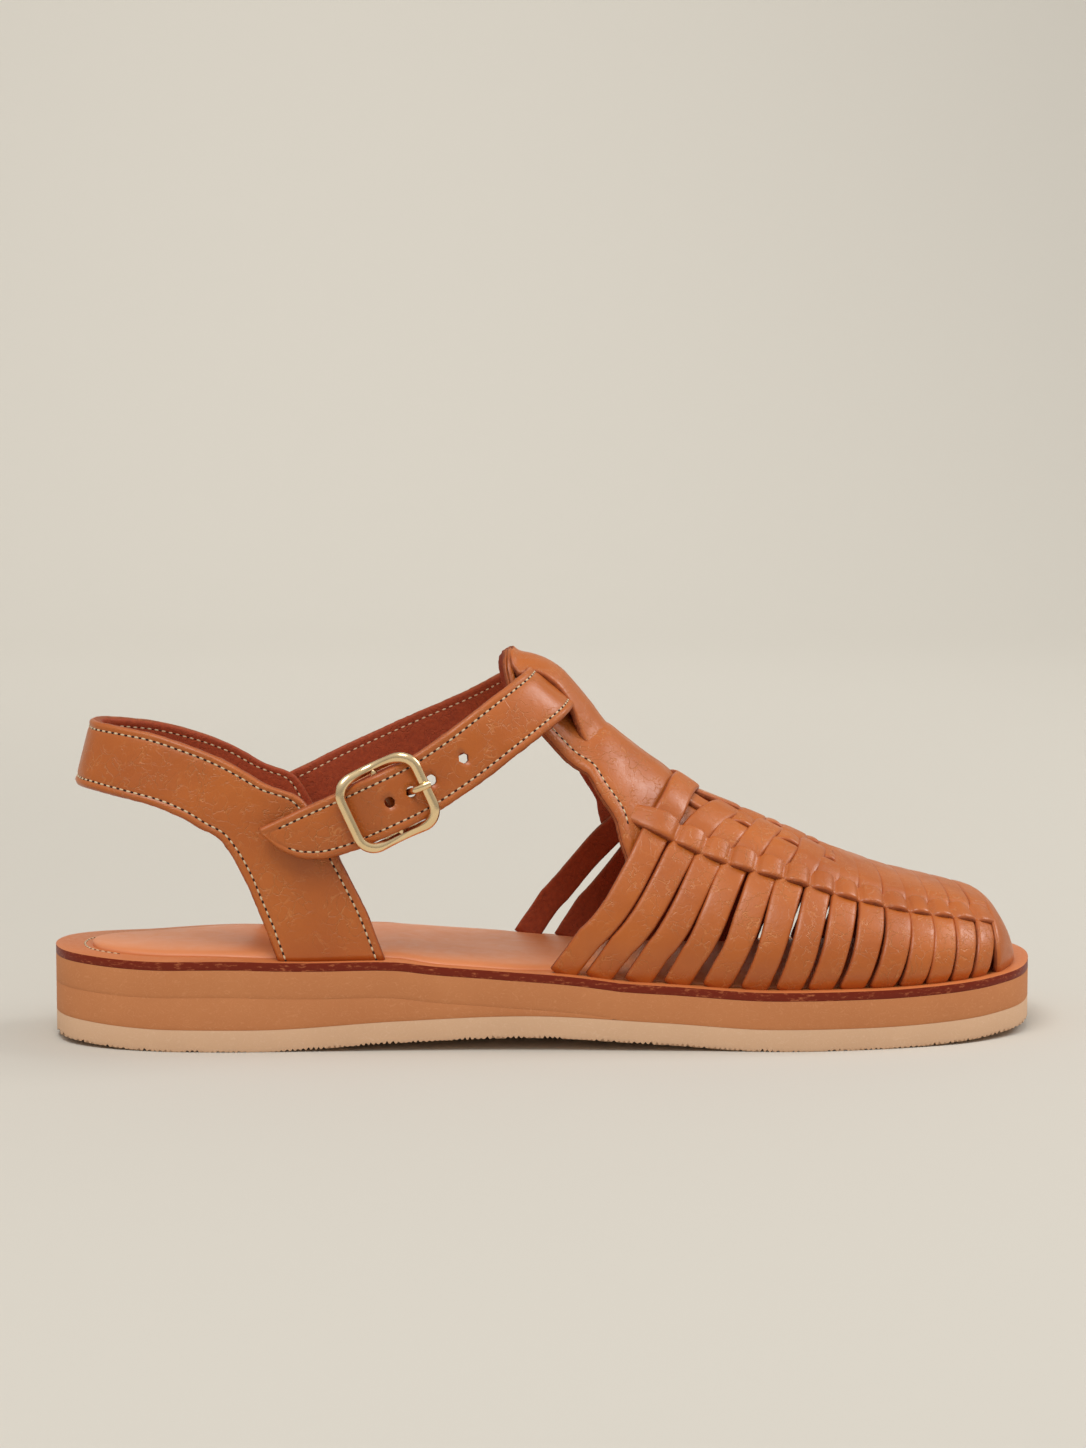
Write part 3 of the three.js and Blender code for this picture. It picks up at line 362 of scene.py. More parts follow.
def foam_rubber(name, tone, dark, pale):
    """Sanded foam: matte, faintly mottled, with fine scratches and scuffs on its edge."""
    material, shader = new_material(name, Roughness=0.82)
    place = add_node(material, "ShaderNodeTexCoord").outputs["Object"]
    stretched = add_node(material, "ShaderNodeMapping", {"Vector": place, "Scale": (1, 1, 1.7)}).outputs[0]
    bent = noisy(material, stretched, 330, 1, Distortion=1.8)
    squiggle = reckoned(material, "ABSOLUTE", reckoned(material, "SUBTRACT", bent, 0.5))
    line = ranged(material, squiggle, 0, 0.022, 1, 0)
    body = mixed(material, noisy(material, place, 55, 4), dark, tone)
    colour = mixed(material, reckoned(material, "MULTIPLY", line, 0.3), body, pale)
    height = reckoned(material, "MULTIPLY_ADD", line, 0.35, noisy(material, place, 1900, 2))
    feed(material, shader, Base_Color=colour, Normal=bumped(material, height, 0.28, 0.12 * MM))
    return material


PALE_FOAM = foam_rubber("pale_foam", (0.76, 0.485, 0.3, 1), (0.67, 0.41, 0.245, 1), (0.85, 0.6, 0.42, 1))
finish_piece(sole_layer(OUTLINE, bottom_at, outsole_top, 0.12 * MM, ragged=RIB),
             "foam_outsole", PALE_FOAM, ["outsole"])


# Wedge and midsole: two layers of tan foam rubber glued together and sanded flush, so that their
# seam is only a thin line. The wedge is full at the heel and fades out under the arch.
GAP = 0.3 * MM
WEDGE_HEIGHT = 8.2 * MM
MIDSOLE = 7.1 * MM
WEDGE_REACH = x_at(0.552)
SEAM = 0.03 * MM
wedge_share = curve((
    (0, 0.9), (0.077, 0.95), (0.17, 1), (0.277, 0.83), (0.338, 0.7), (0.377, 0.5), (0.42, 0.33),
    (0.465, 0.19), (0.52, 0.09), (0.56, 0),
))


def midsole_base(x):
    return outsole_top(x) + GAP + wedge_share(share_at(x)) * WEDGE_HEIGHT


def midsole_top(x):
    return midsole_base(x) + MIDSOLE


TAN_FOAM = foam_rubber("tan_foam", (0.62, 0.242, 0.088, 1), (0.53, 0.188, 0.064, 1), (0.76, 0.37, 0.17, 1))
finish_piece(sole_layer(OUTLINE, lambda x: outsole_top(x) + SEAM, lambda x: midsole_base(x) - SEAM,
                        0.04 * MM, reach=WEDGE_REACH), "foam_wedge", TAN_FOAM, ["heel_wedge"])
finish_piece(sole_layer(OUTLINE, lambda x: midsole_base(x) - (SEAM if x < WEDGE_REACH else GAP - SEAM),
                        midsole_top, 0.05 * MM), "foam_midsole", TAN_FOAM, ["midsole"])


# Footbed: a board of firm vegetable-tanned leather over the foam. Its top is waxed and its cut edge
# is dyed dark red and burnished all round, with a few scuffs where the pale fibre shows.
FOOTBED = 2.0 * MM


def footbed_top(x):
    return midsole_top(x) + GAP + FOOTBED


def footbed_leather():
    material, shader = new_material("footbed_leather", Specular_IOR_Level=0.22)
    place = add_node(material, "ShaderNodeTexCoord").outputs["Object"]
    normal = add_node(material, "ShaderNodeNewGeometry").outputs["Normal"]
    up = add_node(material, "ShaderNodeSeparateXYZ", {0: normal}).outputs["Z"]
    drawn_out = add_node(material, "ShaderNodeMapping", {"Vector": place, "Scale": (1, 1, 3.2)}).outputs[0]
    grain = noisy(material, place, 1300, 3)
    scuff = ranged(material, noisy(material, drawn_out, 420, 5, Roughness=0.7), 0.54, 0.7)
    surface = mixed(material, noisy(material, place, 38, 5), (0.5, 0.13, 0.035, 1), (0.72, 0.24, 0.08, 1))
    edge = mixed(material, scuff, (0.19, 0.018, 0.004, 1), (0.52, 0.15, 0.055, 1))
    colour = mixed(material, ranged(material, up, 0.35, 0.8), edge, surface)
    height = reckoned(material, "ADD", grain, scuff)
    feed(material, shader, Base_Color=colour, Roughness=ranged(material, grain, 0.3, 0.7, 0.36, 0.5),
         Normal=bumped(material, height, 0.22, 0.1 * MM))
    return material


finish_piece(sole_layer(OUTLINE, lambda x: midsole_top(x) + SEAM, footbed_top, 0.35 * MM),
             "leather_footbed", footbed_leather(), ["footbed"])


# Insole: a thin foam pad covered with smooth tan leather, glued inside the footbed's rim and sewn
# round the heel. It swells towards the middle of the foot and its edge is turned down.
INSOLE_EDGE = 0.7 * MM
INSOLE_CROWN = 1.0 * MM
RIM = curve((
    (0, 9.6 * MM), (0.12, 8.6 * MM), (0.2, 6.4 * MM), (0.34, 6.4 * MM), (0.38, 3.4 * MM),
    (0.45, 3.4 * MM), (0.5, 6.8 * MM), (0.9, 6.8 * MM), (1, 8.5 * MM),
))
PAD_COLUMNS = (1, 0.985, 0.95, 0.88, 0.7, 0.4, 0.15)


def closed_shell(top, bottom, bulge):
    """Closed skin over two grids of points, with its cut edges bulging. Each vertex keeps its place:
    metres along, metres across and 1 on top, 0 in the cut edge and -1 below, and its edge distance."""
    rows = len(top)
    columns = len(top[0])
    bm = bmesh.new()
    bmesh.ops.create_grid(bm, x_segments=rows - 1, y_segments=columns - 1, size=1)
    bmesh.ops.solidify(bm, geom=bm.faces[:], thickness=1)
    walls = [e for e in bm.edges if abs(e.verts[0].co.z - e.verts[1].co.z) > 0.5]
    bmesh.ops.subdivide_edges(bm, edges=walls, cuts=1)
    heights = [v.co.z for v in bm.verts]
    floor = min(heights)
    place = bm.verts.layers.float_vector.new("place")
    margin = bm.verts.layers.float.new("margin")
    along = [0]
    middle = columns // 2
    for a, b in zip(top, top[1:]):
        along.append(along[-1] + (b[middle] - a[middle]).length)
    for v in bm.verts:
        i = round((v.co.x + 1) / 2 * (rows - 1))
        j = round((v.co.y + 1) / 2 * (columns - 1))
        side = round(2 * (v.co.z - floor) / (max(heights) - floor)) - 1
        ends = top[i][0], top[i][-1]
        reach = (ends[1] - ends[0]).length
        across = math.copysign((top[i][j] - top[i][middle]).length, j - middle)
        v[place] = (along[i], across, side)
        v[margin] = min((top[i][j] - ends[0]).length, (top[i][j] - ends[1]).length, reach)
        if side > 0:
            v.co = top[i][j]
        elif side < 0:
            v.co = bottom[i][j]
        else:
            v.co = top[i][j].lerp(bottom[i][j], 0.5)
            inward = top[i][1] - top[i][0] if j == 0 else top[i][-2] - top[i][-1]
            if j in (0, columns - 1):
                v.co -= inward.normalized() * bulge
    bmesh.ops.recalc_face_normals(bm, faces=bm.faces[:])
    return bm


def smooth_leather():
    """Thin waxed leather with a soft sheen, faint pores and a little darkening from handling."""
    material, shader = new_material("smooth_leather", Coat_Weight=0.15, Coat_Roughness=0.35)
    place = add_node(material, "ShaderNodeTexCoord").outputs["Object"]
    pores = add_node(material, "ShaderNodeTexVoronoi", {"Vector": place, "Scale": 1500}).outputs["Distance"]
    crease = noisy(material, place, 210, 6, Distortion=0.8)
    colour = mixed(material, noisy(material, place, 26, 3), (0.62, 0.185, 0.06, 1), (0.86, 0.31, 0.12, 1))
    height = reckoned(material, "MULTIPLY_ADD", pores, 0.3, crease)
    feed(material, shader, Base_Color=colour, Roughness=ranged(material, crease, 0.3, 0.7, 0.36, 0.5),
         Normal=bumped(material, height, 0.16, 0.1 * MM))
    return material


def insole_pad():
    outline = inset(OUTLINE, lambda x: RIM(share_at(x)))
    sides = sides_of(outline)
    low = min(p.x for p in outline)
    high = max(p.x for p in outline)
    spread = [-c for c in PAD_COLUMNS] + [0] + list(reversed(PAD_COLUMNS))
    swell = curve(((0, 1), (0.4, 0.97), (0.7, 0.78), (0.88, 0.45), (0.95, 0.12), (0.985, -0.35), (1, -0.7)))
    top, bottom = [], []
    for k in range(101):
        x = low + (high - low) * (1 - math.cos(math.pi * k / 100)) / 2
        x = min(max(x, low + 0.02 * MM), high - 0.02 * MM)
        outer, inner = sides(x)
        middle, half = (outer + inner) / 2, (inner - outer) / 2
        full = min(1, half / (0.2 * BALL_WIDTH)) ** 0.6
        base = footbed_top(x) - 0.1 * MM
        height = INSOLE_EDGE + GAP
        top.append([Vector((x, middle + c * half, base + height * (0.55 + 0.45 * full)
                            + full * swell(abs(c)) * (INSOLE_CROWN if abs(c) < 0.9 else height)))
                    for c in spread])
        bottom.append([Vector((x, middle + c * half, base)) for c in spread])
    return closed_shell(top, bottom, 0.1 * MM)


insole = finish_piece(insole_pad(), "padded_insole", smooth_leather(), ["insole"])


# Weave: seven-millimetre strips of cognac leather, cut raw on both sides and drawn over the last
# while damp. Each starts in the sole, passes under a border strand and crosses the long strands.
VAMP_HEIGHT = 57 * MM
LEDGE_WIDTH = 2.4 * MM
STRIP_WIDTH = 7.3 * MM
STRIP_WALL = 1.75 * MM
OVER = 0.8 * MM
UNDER = -0.9 * MM
BORDER_V = 0.4
INNER_V = 0.17
END_V = 1.012
BELLY = 0.15
TUCK = 0.035
LAST = (
    (0.47, 1.22, 0.34), (0.54, 1.155, 0.34), (0.59, 1.004, 0.35), (0.63, 0.88, 0.38),
    (0.669, 0.778, 0.44), (0.707, 0.703, 0.5), (0.732, 0.655, 0.54), (0.768, 0.579, 0.6),
    (0.793, 0.524, 0.64), (0.822, 0.474, 0.68), (0.85, 0.426, 0.7), (0.886, 0.378, 0.72),
    (0.917, 0.336, 0.74), (0.938, 0.303, 0.74), (0.954, 0.259, 0.74), (0.965, 0.19, 0.74),
    (0.972, 0.12, 0.74), (0.9785, 0.01, 0.74),
)
last_rise = curve([(at, rise) for at, rise, _ in LAST])
last_full = curve([(at, full) for at, _, full in LAST])
ledge = curve(((0.45, 1), (0.9, 1), (1, 1.55)))
LAST_LINE = inset(OUTLINE, lambda x: ledge(share_at(x)) * LEDGE_WIDTH + 1 * MM)
last_sides = sides_of(LAST_LINE)
NOSE_X = max(p.x for p in LAST_LINE) - 0.3 * MM


def last_point(x, v):
    """The foot's form under the vamp: v runs from -1 at the outer base over 0 to 1."""
    outer, inner = last_sides(min(x, NOSE_X))
    t = 1 - abs(v)
    weight = 2 * last_full(share_at(x))
    s = max(0, (t - BELLY) / (1 - BELLY))
    whole = (1 - s) ** 2 + weight * s * (1 - s) + s * s
    across = ((1 - s) ** 2 + weight * s * (1 - s)) / whole
    up = (weight * s * (1 - s) + s * s) / whole
    tuck = TUCK * max(0, 1 - t / BELLY) ** 2
    rise = min(t, BELLY) + (1 - BELLY) * up
    half = math.copysign((inner - outer) / 2, v)
    height = footbed_top(x) + GAP + rise * last_rise(share_at(x)) * VAMP_HEIGHT
    return Vector((x, (outer + inner) / 2 + half * (across - tuck), height))


def last_normal(x, v):
    along = last_point(x + 0.5 * MM, v) - last_point(x - 0.5 * MM, v)
    round_it = last_point(x, v + 0.01) - last_point(x, v - 0.01)
    return along.cross(round_it).normalized()


def upper_leather(name, tone, dark, pale, shine):
    """Oiled leather with fine creases painted with a pale sheen, a flesh side below and raw orange fibre in
    its cut edges.
    """
    material, shader = new_material(name, Coat_Weight=shine, Coat_Roughness=0.32)
    place = add_node(material, "ShaderNodeTexCoord").outputs["Object"]
    own = add_node(material, "ShaderNodeAttribute", attribute_name="place").outputs["Vector"]
    margin = add_node(material, "ShaderNodeAttribute", attribute_name="margin").outputs["Fac"]
    level = add_node(material, "ShaderNodeSeparateXYZ", {0: own}).outputs["Z"]
    on_top = ranged(material, level, 0.72, 0.97)
    below = ranged(material, level, -0.97, -0.72, 1, 0)
    grain = noisy(material, place, 1500, 3)
    fibre = noisy(material, place, 900, 5)
    pull = noisy(material, place, 150, 3, Distortion=0.5)
    bend = mixed(material, 0.012, place, pull.node.outputs["Color"], "VECTOR")
    cells = add_node(material, "ShaderNodeTexVoronoi", {"Vector": bend, "Scale": 310},
                     feature="DISTANCE_TO_EDGE").outputs["Distance"]
    crease = reckoned(material, "MULTIPLY", ranged(material, cells, 0, 0.05, 1, 0),
                      ranged(material, pull, 0.4, 0.62))
    body = mixed(material, noisy(material, place, 62, 5), dark, tone)
    # the pale colour laid along the creases is a painted sheen, not a colour of the leather
    body_with_painted_sheen = mixed(material, reckoned(material, "MULTIPLY", crease, 0.3), body, pale)
    rubbed = ranged(material, margin, 0.1 * MM, 0.75 * MM, 0.62, 0)
    skin = mixed(material, rubbed, body_with_painted_sheen, (0.4, 0.075, 0.01, 1))
    raw = mixed(material, fibre, (0.1, 0.014, 0.003, 1), (0.48, 0.11, 0.018, 1))
    flesh = mixed(material, fibre, (0.24, 0.028, 0.006, 1), (0.46, 0.075, 0.016, 1))
    colour = mixed(material, below, mixed(material, on_top, raw, skin), flesh)
    rough = mixed(material, on_top, 0.85, ranged(material, pull, 0.3, 0.7, 0.3, 0.5), "FLOAT")
    fuzz = mixed(material, on_top, fibre, 0.5, "FLOAT")
    wrinkle = reckoned(material, "MULTIPLY_ADD", crease, -0.55, fuzz)
    wave = reckoned(material, "MULTIPLY_ADD", pull, 0.9, wrinkle)
    height = reckoned(material, "MULTIPLY_ADD", grain, 0.22, wave)
    feed(material, shader, Base_Color=colour, Roughness=rough,
         Normal=bumped(material, height, 0.7, 0.3 * MM))
    return material


# the third colour is the painted sheen along the creases
COGNAC = upper_leather("cognac_leather", (0.6, 0.16, 0.019, 1), (0.37, 0.078, 0.009, 1),
                       (0.8, 0.36, 0.12, 1), 0.12)


def leather_piece(bm, name, node):
    return finish_piece(bm, name, COGNAC, [node])


STRIP_EDGES = (0, 0.3 * MM, 0.75 * MM, 1.35 * MM)
strip_edge = curve(((0, -0.42 * MM), (0.3 * MM, -0.12 * MM), (0.75 * MM, -0.02 * MM), (1.35 * MM, 0)))


def leather_strip(path, halves, wall, edges=STRIP_EDGES, edge_lift=strip_edge, crown=0.12 * MM):
    """Flat strip along rows of point and normal, softly crowned, with worn cut edges."""
    top, bottom = [], []
    for i, (point, normal) in enumerate(path):
        before = path[max(i - 1, 0)][0]
        after = path[min(i + 1, len(path) - 1)][0]
        side = (after - before).cross(normal).normalized()
        half = halves[i]
        inner = half - edges[-1]
        left = [-half + e for e in edges]
        columns = [*left, -inner / 2, 0, inner / 2, *[-c for c in reversed(left)]]
        over, under = [], []
        for c in columns:
            margin = half - abs(c)
            fray = 0.1 * MM * noise.noise((point + side * c) * 900) if margin < 0.1 * MM else 0
            spot = point + side * (c + math.copysign(fray, c))
            lift = edge_lift(margin) + crown * (1 - (c / half) ** 2)
            over.append(spot + normal * (wall / 2 + lift))
            under.append(spot - normal * (wall / 2 + 0.3 * edge_lift(margin)))
        top.append(over)
        bottom.append(under)
    return closed_shell(top, bottom, 0.12 * wall)


# shares of the sole's length at the base, under the border strand, above it and on the crest, then
# the width's share, and whether the strip lies over the inner strands and over the middle one
STRIPS = (
    (0.501, 0.598, 0.619, 0.642, 1, True, True),
    (0.536, 0.626, 0.65, 0.692, 1, True, False),
    (0.575, 0.652, 0.674, 0.711, 1, False, True),
    (0.614, 0.677, 0.7, 0.733, 1, True, False),
    (0.653, 0.706, 0.727, 0.754, 1, False, True),
    (0.691, 0.733, 0.754, 0.775, 1, True, False),
    (0.725, 0.762, 0.777, 0.79, 0.97, False, True),
    (0.757, 0.789, 0.796, 0.804, 0.97, True, True),
    (0.789, 0.817, 0.82, 0.822, 0.97, True, True),
    (0.82, 0.844, 0.845, 0.846, 0.97, True, True),
    (0.851, 0.868, 0.868, 0.869, 0.93, True, True),
    (0.878, 0.891, 0.891, 0.892, 0.9, True, True),
    (0.903, 0.914, 0.914, 0.914, 0.85, True, True),
    (0.925, 0.937, 0.936, 0.935, 0.8, True, True),
)


def strip_x(row):
    base, below, above, crest = row[:4]
    x = curve(((0, x_at(crest)), (0.33, x_at(above)), (0.46, x_at(below)), (1.03, x_at(base))))
    bend = 0.09
    bow = 4.5 * MM * max(0, 1 - (base - STRIPS[0][0]) / 0.08)
    return lambda v: (x(math.hypot(v, bend) - bend * (1 - min(1, abs(v) / 0.33)))
                      - bow * math.sin(math.pi / 2 * min(1, max(0, v - 0.42) / 0.35)))


def strip_lift(row):
    over_inner, over_middle = row[5:]
    middle = OVER if over_middle else UNDER
    inner = OVER if over_inner else UNDER
    half_way = OVER if over_middle == over_inner else 0.4 * OVER
    lift = curve(((0, middle), (0.085, half_way), (INNER_V, inner), (0.265, OVER), (0.31, 0.75 * OVER),
                  (BORDER_V, UNDER), (0.485, -0.15 * OVER), (0.6, 0.1 * OVER)))
    return lambda v: lift(abs(v))


def across_last(count):
    """Places across the last, from just below the footbed's top on one side to the other."""
    return [END_V * i / count for i in range(-count, count + 1)]


def on_last(places):
    """Rows of point and normal at places of x, v and lift over the last."""
    rows = []
    for x, v, lift in places:
        normal = last_normal(x, v)
        rows.append((last_point(x, v) + normal * lift, normal))
    return rows


def cross_strips():
    for k, row in enumerate(STRIPS):
        x, lift = strip_x(row), strip_lift(row)
        steps = across_last(44)
        path = on_last([(x(v), v, lift(v)) for v in steps])
        half = row[4] * STRIP_WIDTH / 2
        halves = [half * (1 + 0.05 * noise.noise(p * 120 + Vector((k, 0, 0))) - 0.17 * max(0, abs(v) - 0.38))
                  for v, (p, _) in zip(steps, path)]
        leather_piece(leather_strip(path, halves, STRIP_WALL), f"cross_strip_{k + 1:02d}", "woven_upper")


cross_strips()


# Long strands: five strips that run from the instep to the toe. The two border strands lie over
# every cross strip, the other three rise over every second one at the rear and hide in front.
BORDER_WIDTH = 7.2 * MM
STRAND_WIDTH = 6.4 * MM
CAP_REAR = 0.944
BORDER_TAIL = 1.3 * STRIP_WIDTH
STRAND_TAIL = 0.4 * STRIP_WIDTH
TAIL_DEPTH = 2.6 * UNDER
DIP = -0.6 * MM


def strand(name, v, lifts, width, tail, swell=0):
    """Strand along the vamp, with a tail behind the first strip that runs down into the instep
    strap. It can be drawn narrower where it dips between two strips."""
    first = strip_x(STRIPS[0])(v) - tail
    end = x_at(CAP_REAR) + 0.7 * STRIP_WIDTH
    height = curve([(first, TAIL_DEPTH), *lifts, (end, UNDER)])
    xs = [first + (end - first) * i / 150 for i in range(151)]
    path = on_last([(x, v, height(x)) for x in xs])
    halves = [width / 2 * (1 + swell * (height(x) - OVER) / (OVER - DIP)) for x in xs]
    leather_piece(leather_strip(path, halves, STRIP_WALL), name, "woven_upper")


def border_lifts():
    crossings = [x_at((row[1] + row[2]) / 2) for row in STRIPS]
    lifts = []
    for x, following in zip(crossings, [*crossings[1:], None]):
        if following:
            gap = following - x
            lifts += [(x, 1.25 * OVER), (x + 0.32 * gap, 0.8 * OVER), (x + 0.5 * gap, DIP),
                      (x + 0.68 * gap, 0.8 * OVER)]
        else:
            lifts.append((x, OVER))
    return lifts


def inner_lifts(v, column):
    """Heights of a strand that goes over the strips that pass under it."""
    return [(strip_x(row)(v), UNDER if row[column] else OVER) for row in STRIPS]


strand("border_strand_outer", -BORDER_V, border_lifts(), BORDER_WIDTH, BORDER_TAIL, 0.15)
strand("border_strand_inner", BORDER_V, border_lifts(), BORDER_WIDTH, BORDER_TAIL, 0.15)
strand("long_strand_outer", -INNER_V, inner_lifts(-INNER_V, 5), STRAND_WIDTH, STRAND_TAIL)
strand("long_strand_inner", INNER_V, inner_lifts(INNER_V, 5), STRAND_WIDTH, STRAND_TAIL)
strand("long_strand_middle", 0, inner_lifts(0, 6), STRAND_WIDTH, STRAND_TAIL)


# Toe cap strip: the last strip wraps the tip of the toe, over the ends of the long strands, with
# its lower edge tucked into the sole.
def toe_cap():
    length = NOSE_X - x_at(CAP_REAR)
    lift = curve(((0, 0), (0.5, 0.1 * OVER), (0.8, 0.7 * OVER), (1, 1.15 * OVER)))
    steps = across_last(30)
    top, bottom = [], []
    for k in range(25):
        back = 1 - math.sin(math.pi / 2 * k / 24)
        x = NOSE_X - back * length
        rows = on_last([(x, v, lift(back)) for v in steps])
        soft = -0.4 * MM if k == 0 else 0
        top.append([point + normal * (STRIP_WALL / 2 + soft) for point, normal in rows])
        bottom.append([point - normal * STRIP_WALL / 2 for point, normal in rows])
    leather_piece(closed_shell(top, bottom, 0.1 * MM), "toe_cap_strip", "woven_upper")


toe_cap()


def grid_normals(points):
    """Normals of a grid of points, away from the foot."""
    rows, columns = len(points), len(points[0])
    normals = []
    for i in range(rows):
        line = []
        for j in range(columns):
            up = points[min(i + 1, rows - 1)][j] - points[max(i - 1, 0)][j]
            over = points[i][min(j + 1, columns - 1)] - points[i][max(j - 1, 0)]
            normal = up.cross(over).normalized()
            line.append(-normal if normal.z < 0 else normal)
        normals.append(line)
    return normals


# Vamp lining: the instep strap's lower layer runs forward under the weave and closes its small
# gaps. Only its dark flesh side is seen, from the foot opening.
LINING_REAR = 0.622
LINING_LENGTH = 0.333
LINING_FACES = (1.05 * MM, 1.9 * MM)


def vamp_lining():
    points = [[last_point(x_at(LINING_REAR + LINING_LENGTH * k / 40), BORDER_V * c / 8)
               for c in range(-8, 9)] for k in range(41)]
    normals = grid_normals(points)
    top, bottom = ([[p - n * depth for p, n in zip(*pair)] for pair in zip(points, normals)]
                   for depth in LINING_FACES)
    leather_piece(closed_shell(top, bottom, 0.1 * MM), "vamp_lining", "woven_upper")


vamp_lining()


# Stitching: cream waxed thread, about two millimetres a stitch, in a shallow groove near the edge.
# Each stitch ends in an awl hole, drawn as a near-black bead of painted shade.
STITCH = 2.05 * MM
THREAD = 0.27 * MM
THREAD_SUNK = 0.2 * MM
HEEL_SEAM_IN = 7.6 * MM
HEEL_SEAM_REACH = OUTLINE_POINTS // 22


def thread_and_hole_shade():
    thread, shader = new_material("cream_thread", Roughness=0.6)
    place = add_node(thread, "ShaderNodeTexCoord").outputs["Object"]
    twist = add_node(thread, "ShaderNodeTexWave", {
        "Vector": place, "Scale": 1400, "Distortion": 2}).outputs["Fac"]
    feed(thread, shader, Base_Color=mixed(thread, twist, (0.62, 0.46, 0.27, 1), (0.82, 0.68, 0.47, 1)),
         Normal=bumped(thread, twist, 0.5, 0.08 * MM))
    # the awl holes' recesses are drawn with a near-black material, which is painted shade
    hole, _ = new_material("painted_hole_shade", Base_Color=(0.035, 0.008, 0.003, 1), Roughness=0.9)
    return thread, hole


CREAM_THREAD, PAINTED_HOLE_SHADE = thread_and_hole_shade()


def stitch_row(name, line, node):
    """Stitches along rows of point and normal, each a small rounded bead between two holes drawn as dark
    beads of painted shade.
    """
    points = [point for point, _ in line]
    lengths = [0]
    for a, b in zip(points, points[1:]):
        lengths.append(lengths[-1] + (b - a).length)
    count = max(1, round(lengths[-1] / STITCH))
    bm = bmesh.new()

    def frame_at(want):
        i = max(0, min(bisect(lengths, want) - 1, len(points) - 2))
        t = (want - lengths[i]) / max(lengths[i + 1] - lengths[i], 1e-9)
        along = (points[i + 1] - points[i]).normalized()
        normal = line[i][1].lerp(line[i + 1][1], t)
        side = normal.cross(along).normalized()
        turned = Matrix((along, side, along.cross(side))).transposed().to_4x4()
        return Matrix.Translation(points[i].lerp(points[i + 1], t)) @ turned

    for k in range(count):
        middle = lengths[-1] * (k + 0.5) / count
        stretch = Matrix.Diagonal((0.31 * STITCH, THREAD, 0.8 * THREAD, 1))
        bmesh.ops.create_icosphere(bm, subdivisions=2, radius=1, matrix=frame_at(middle) @ stretch)
    threads = len(bm.faces)
    # near-black beads of painted shade at the stitch ends, standing in for the awl holes
    for k in range(count + 1):
        stretch = Matrix.Diagonal((0.24 * STITCH, 1.35 * THREAD, 0.45 * THREAD, 1))
        bmesh.ops.create_icosphere(bm, subdivisions=1, radius=1,
                                   matrix=frame_at(lengths[-1] * k / count) @ stretch)
    bm.faces.ensure_lookup_table()
    for face in bm.faces[threads:]:
        face.material_index = 1
    piece = finish_piece(bm, name, CREAM_THREAD, None)
    piece.data.materials.append(PAINTED_HOLE_SHADE)


def sew(name, grid, normals, column, lift, node, part=slice(None)):
    """Stitches along one column of a grid. A negative lift puts them on its lower side."""
    side = math.copysign(1, lift)
    line = [(row[column] + n[column] * lift, n[column] * side) for row, n in zip(grid, normals)]
    stitch_row(name, line[part], node)


def insole_stitches():
    """The sock is sewn to the footbed round the heel alone."""
    line = inset(OUTLINE, lambda x: HEEL_SEAM_IN)
    arc = [line[k % len(line)] for k in range(-HEEL_SEAM_REACH, HEEL_SEAM_REACH + 1)]
    stitch_row("heel_seam", [(Vector((p.x, p.y, footbed_top(p.x))), Vector((0, 0, 1))) for p in arc],
               "insole")


insole_stitches()


# Instep strap: two layers sewn together along both edges, from under the weave up to a rounded tab.
# A narrower bridge of the same leather arches over the ankle strap and is sewn down at the tab.
INSTEP_TOP = 103 * MM
LAYER = 1.15 * MM
BRIDGE_WALL = 1.8 * MM
STITCH_IN = 2.05 * MM
STRAP_EDGES = (0, 0.3 * MM, 0.7 * MM, 1.2 * MM, 1.7 * MM, STITCH_IN, 2.4 * MM, 3.2 * MM)
SEAM_COLUMN = STRAP_EDGES.index(STITCH_IN)
INSTEP_SEAM = slice(12, 76)
TAB_SEAM = slice(70, 84)
piping = curve(((0, -0.62 * MM), (0.3 * MM, -0.2 * MM), (0.7 * MM, 0.04 * MM), (1.2 * MM, 0.08 * MM),
                (1.7 * MM, -0.1 * MM), (2.05 * MM, -0.26 * MM), (2.4 * MM, -0.14 * MM), (3.2 * MM, 0)))
cut_edge = curve(((0, -0.3 * MM), (0.4 * MM, -0.04 * MM), (1.2 * MM, 0)))
# place and height of the crest, half width and how far the edges fall away from the crest
STRAP_ROWS = (
    (0.634, 0.63, 27.5, 24.5), (0.617, 0.67, 26, 21.2), (0.6, 0.7, 23.8, 17), (0.577, 0.745, 21.4, 14.6),
    (0.5585, 0.78, 18.8, 12.6), (0.539, 0.797, 17, 11.4), (0.5188, 0.822, 15.3, 9), (0.495, 0.869, 13.5, 7),
    (0.472, 0.917, 11.6, 4.4), (0.4645, 0.947, 9.5, 2.6), (0.461, 0.967, 6.6, 1.3), (0.4594, 0.979, 2.6, 0.4),
)
BRIDGE_ROWS = (
    (0.573, 0.742, 13, 7.6), (0.5605, 0.777, 12.6, 7.4), (0.552, 0.803, 12, 6.9), (0.5445, 0.83, 11.6, 6),
    (0.535, 0.86, 11.2, 4.7), (0.524, 0.893, 11, 3.9), (0.511, 0.927, 10.8, 3.6),
    (0.494, 0.952, 10.6, 3.4), (0.482, 0.9615, 10.9, 4), (0.4745, 0.9655, 10.9, 4.8),
    (0.4697, 0.9695, 9.9, 4), (0.4668, 0.9745, 9, 3.2), (0.465, 0.9785, 7.4, 2.2), (0.4642, 0.98, 5, 1.2),
)


def strap_columns(width, near, shares):
    """Places across a strap: distances near its edges, and shares of what lies between them."""
    middle = width - 2 * near[-1]
    return [*near, *[near[-1] + middle * c for c in shares], *[width - e for e in reversed(near)]]


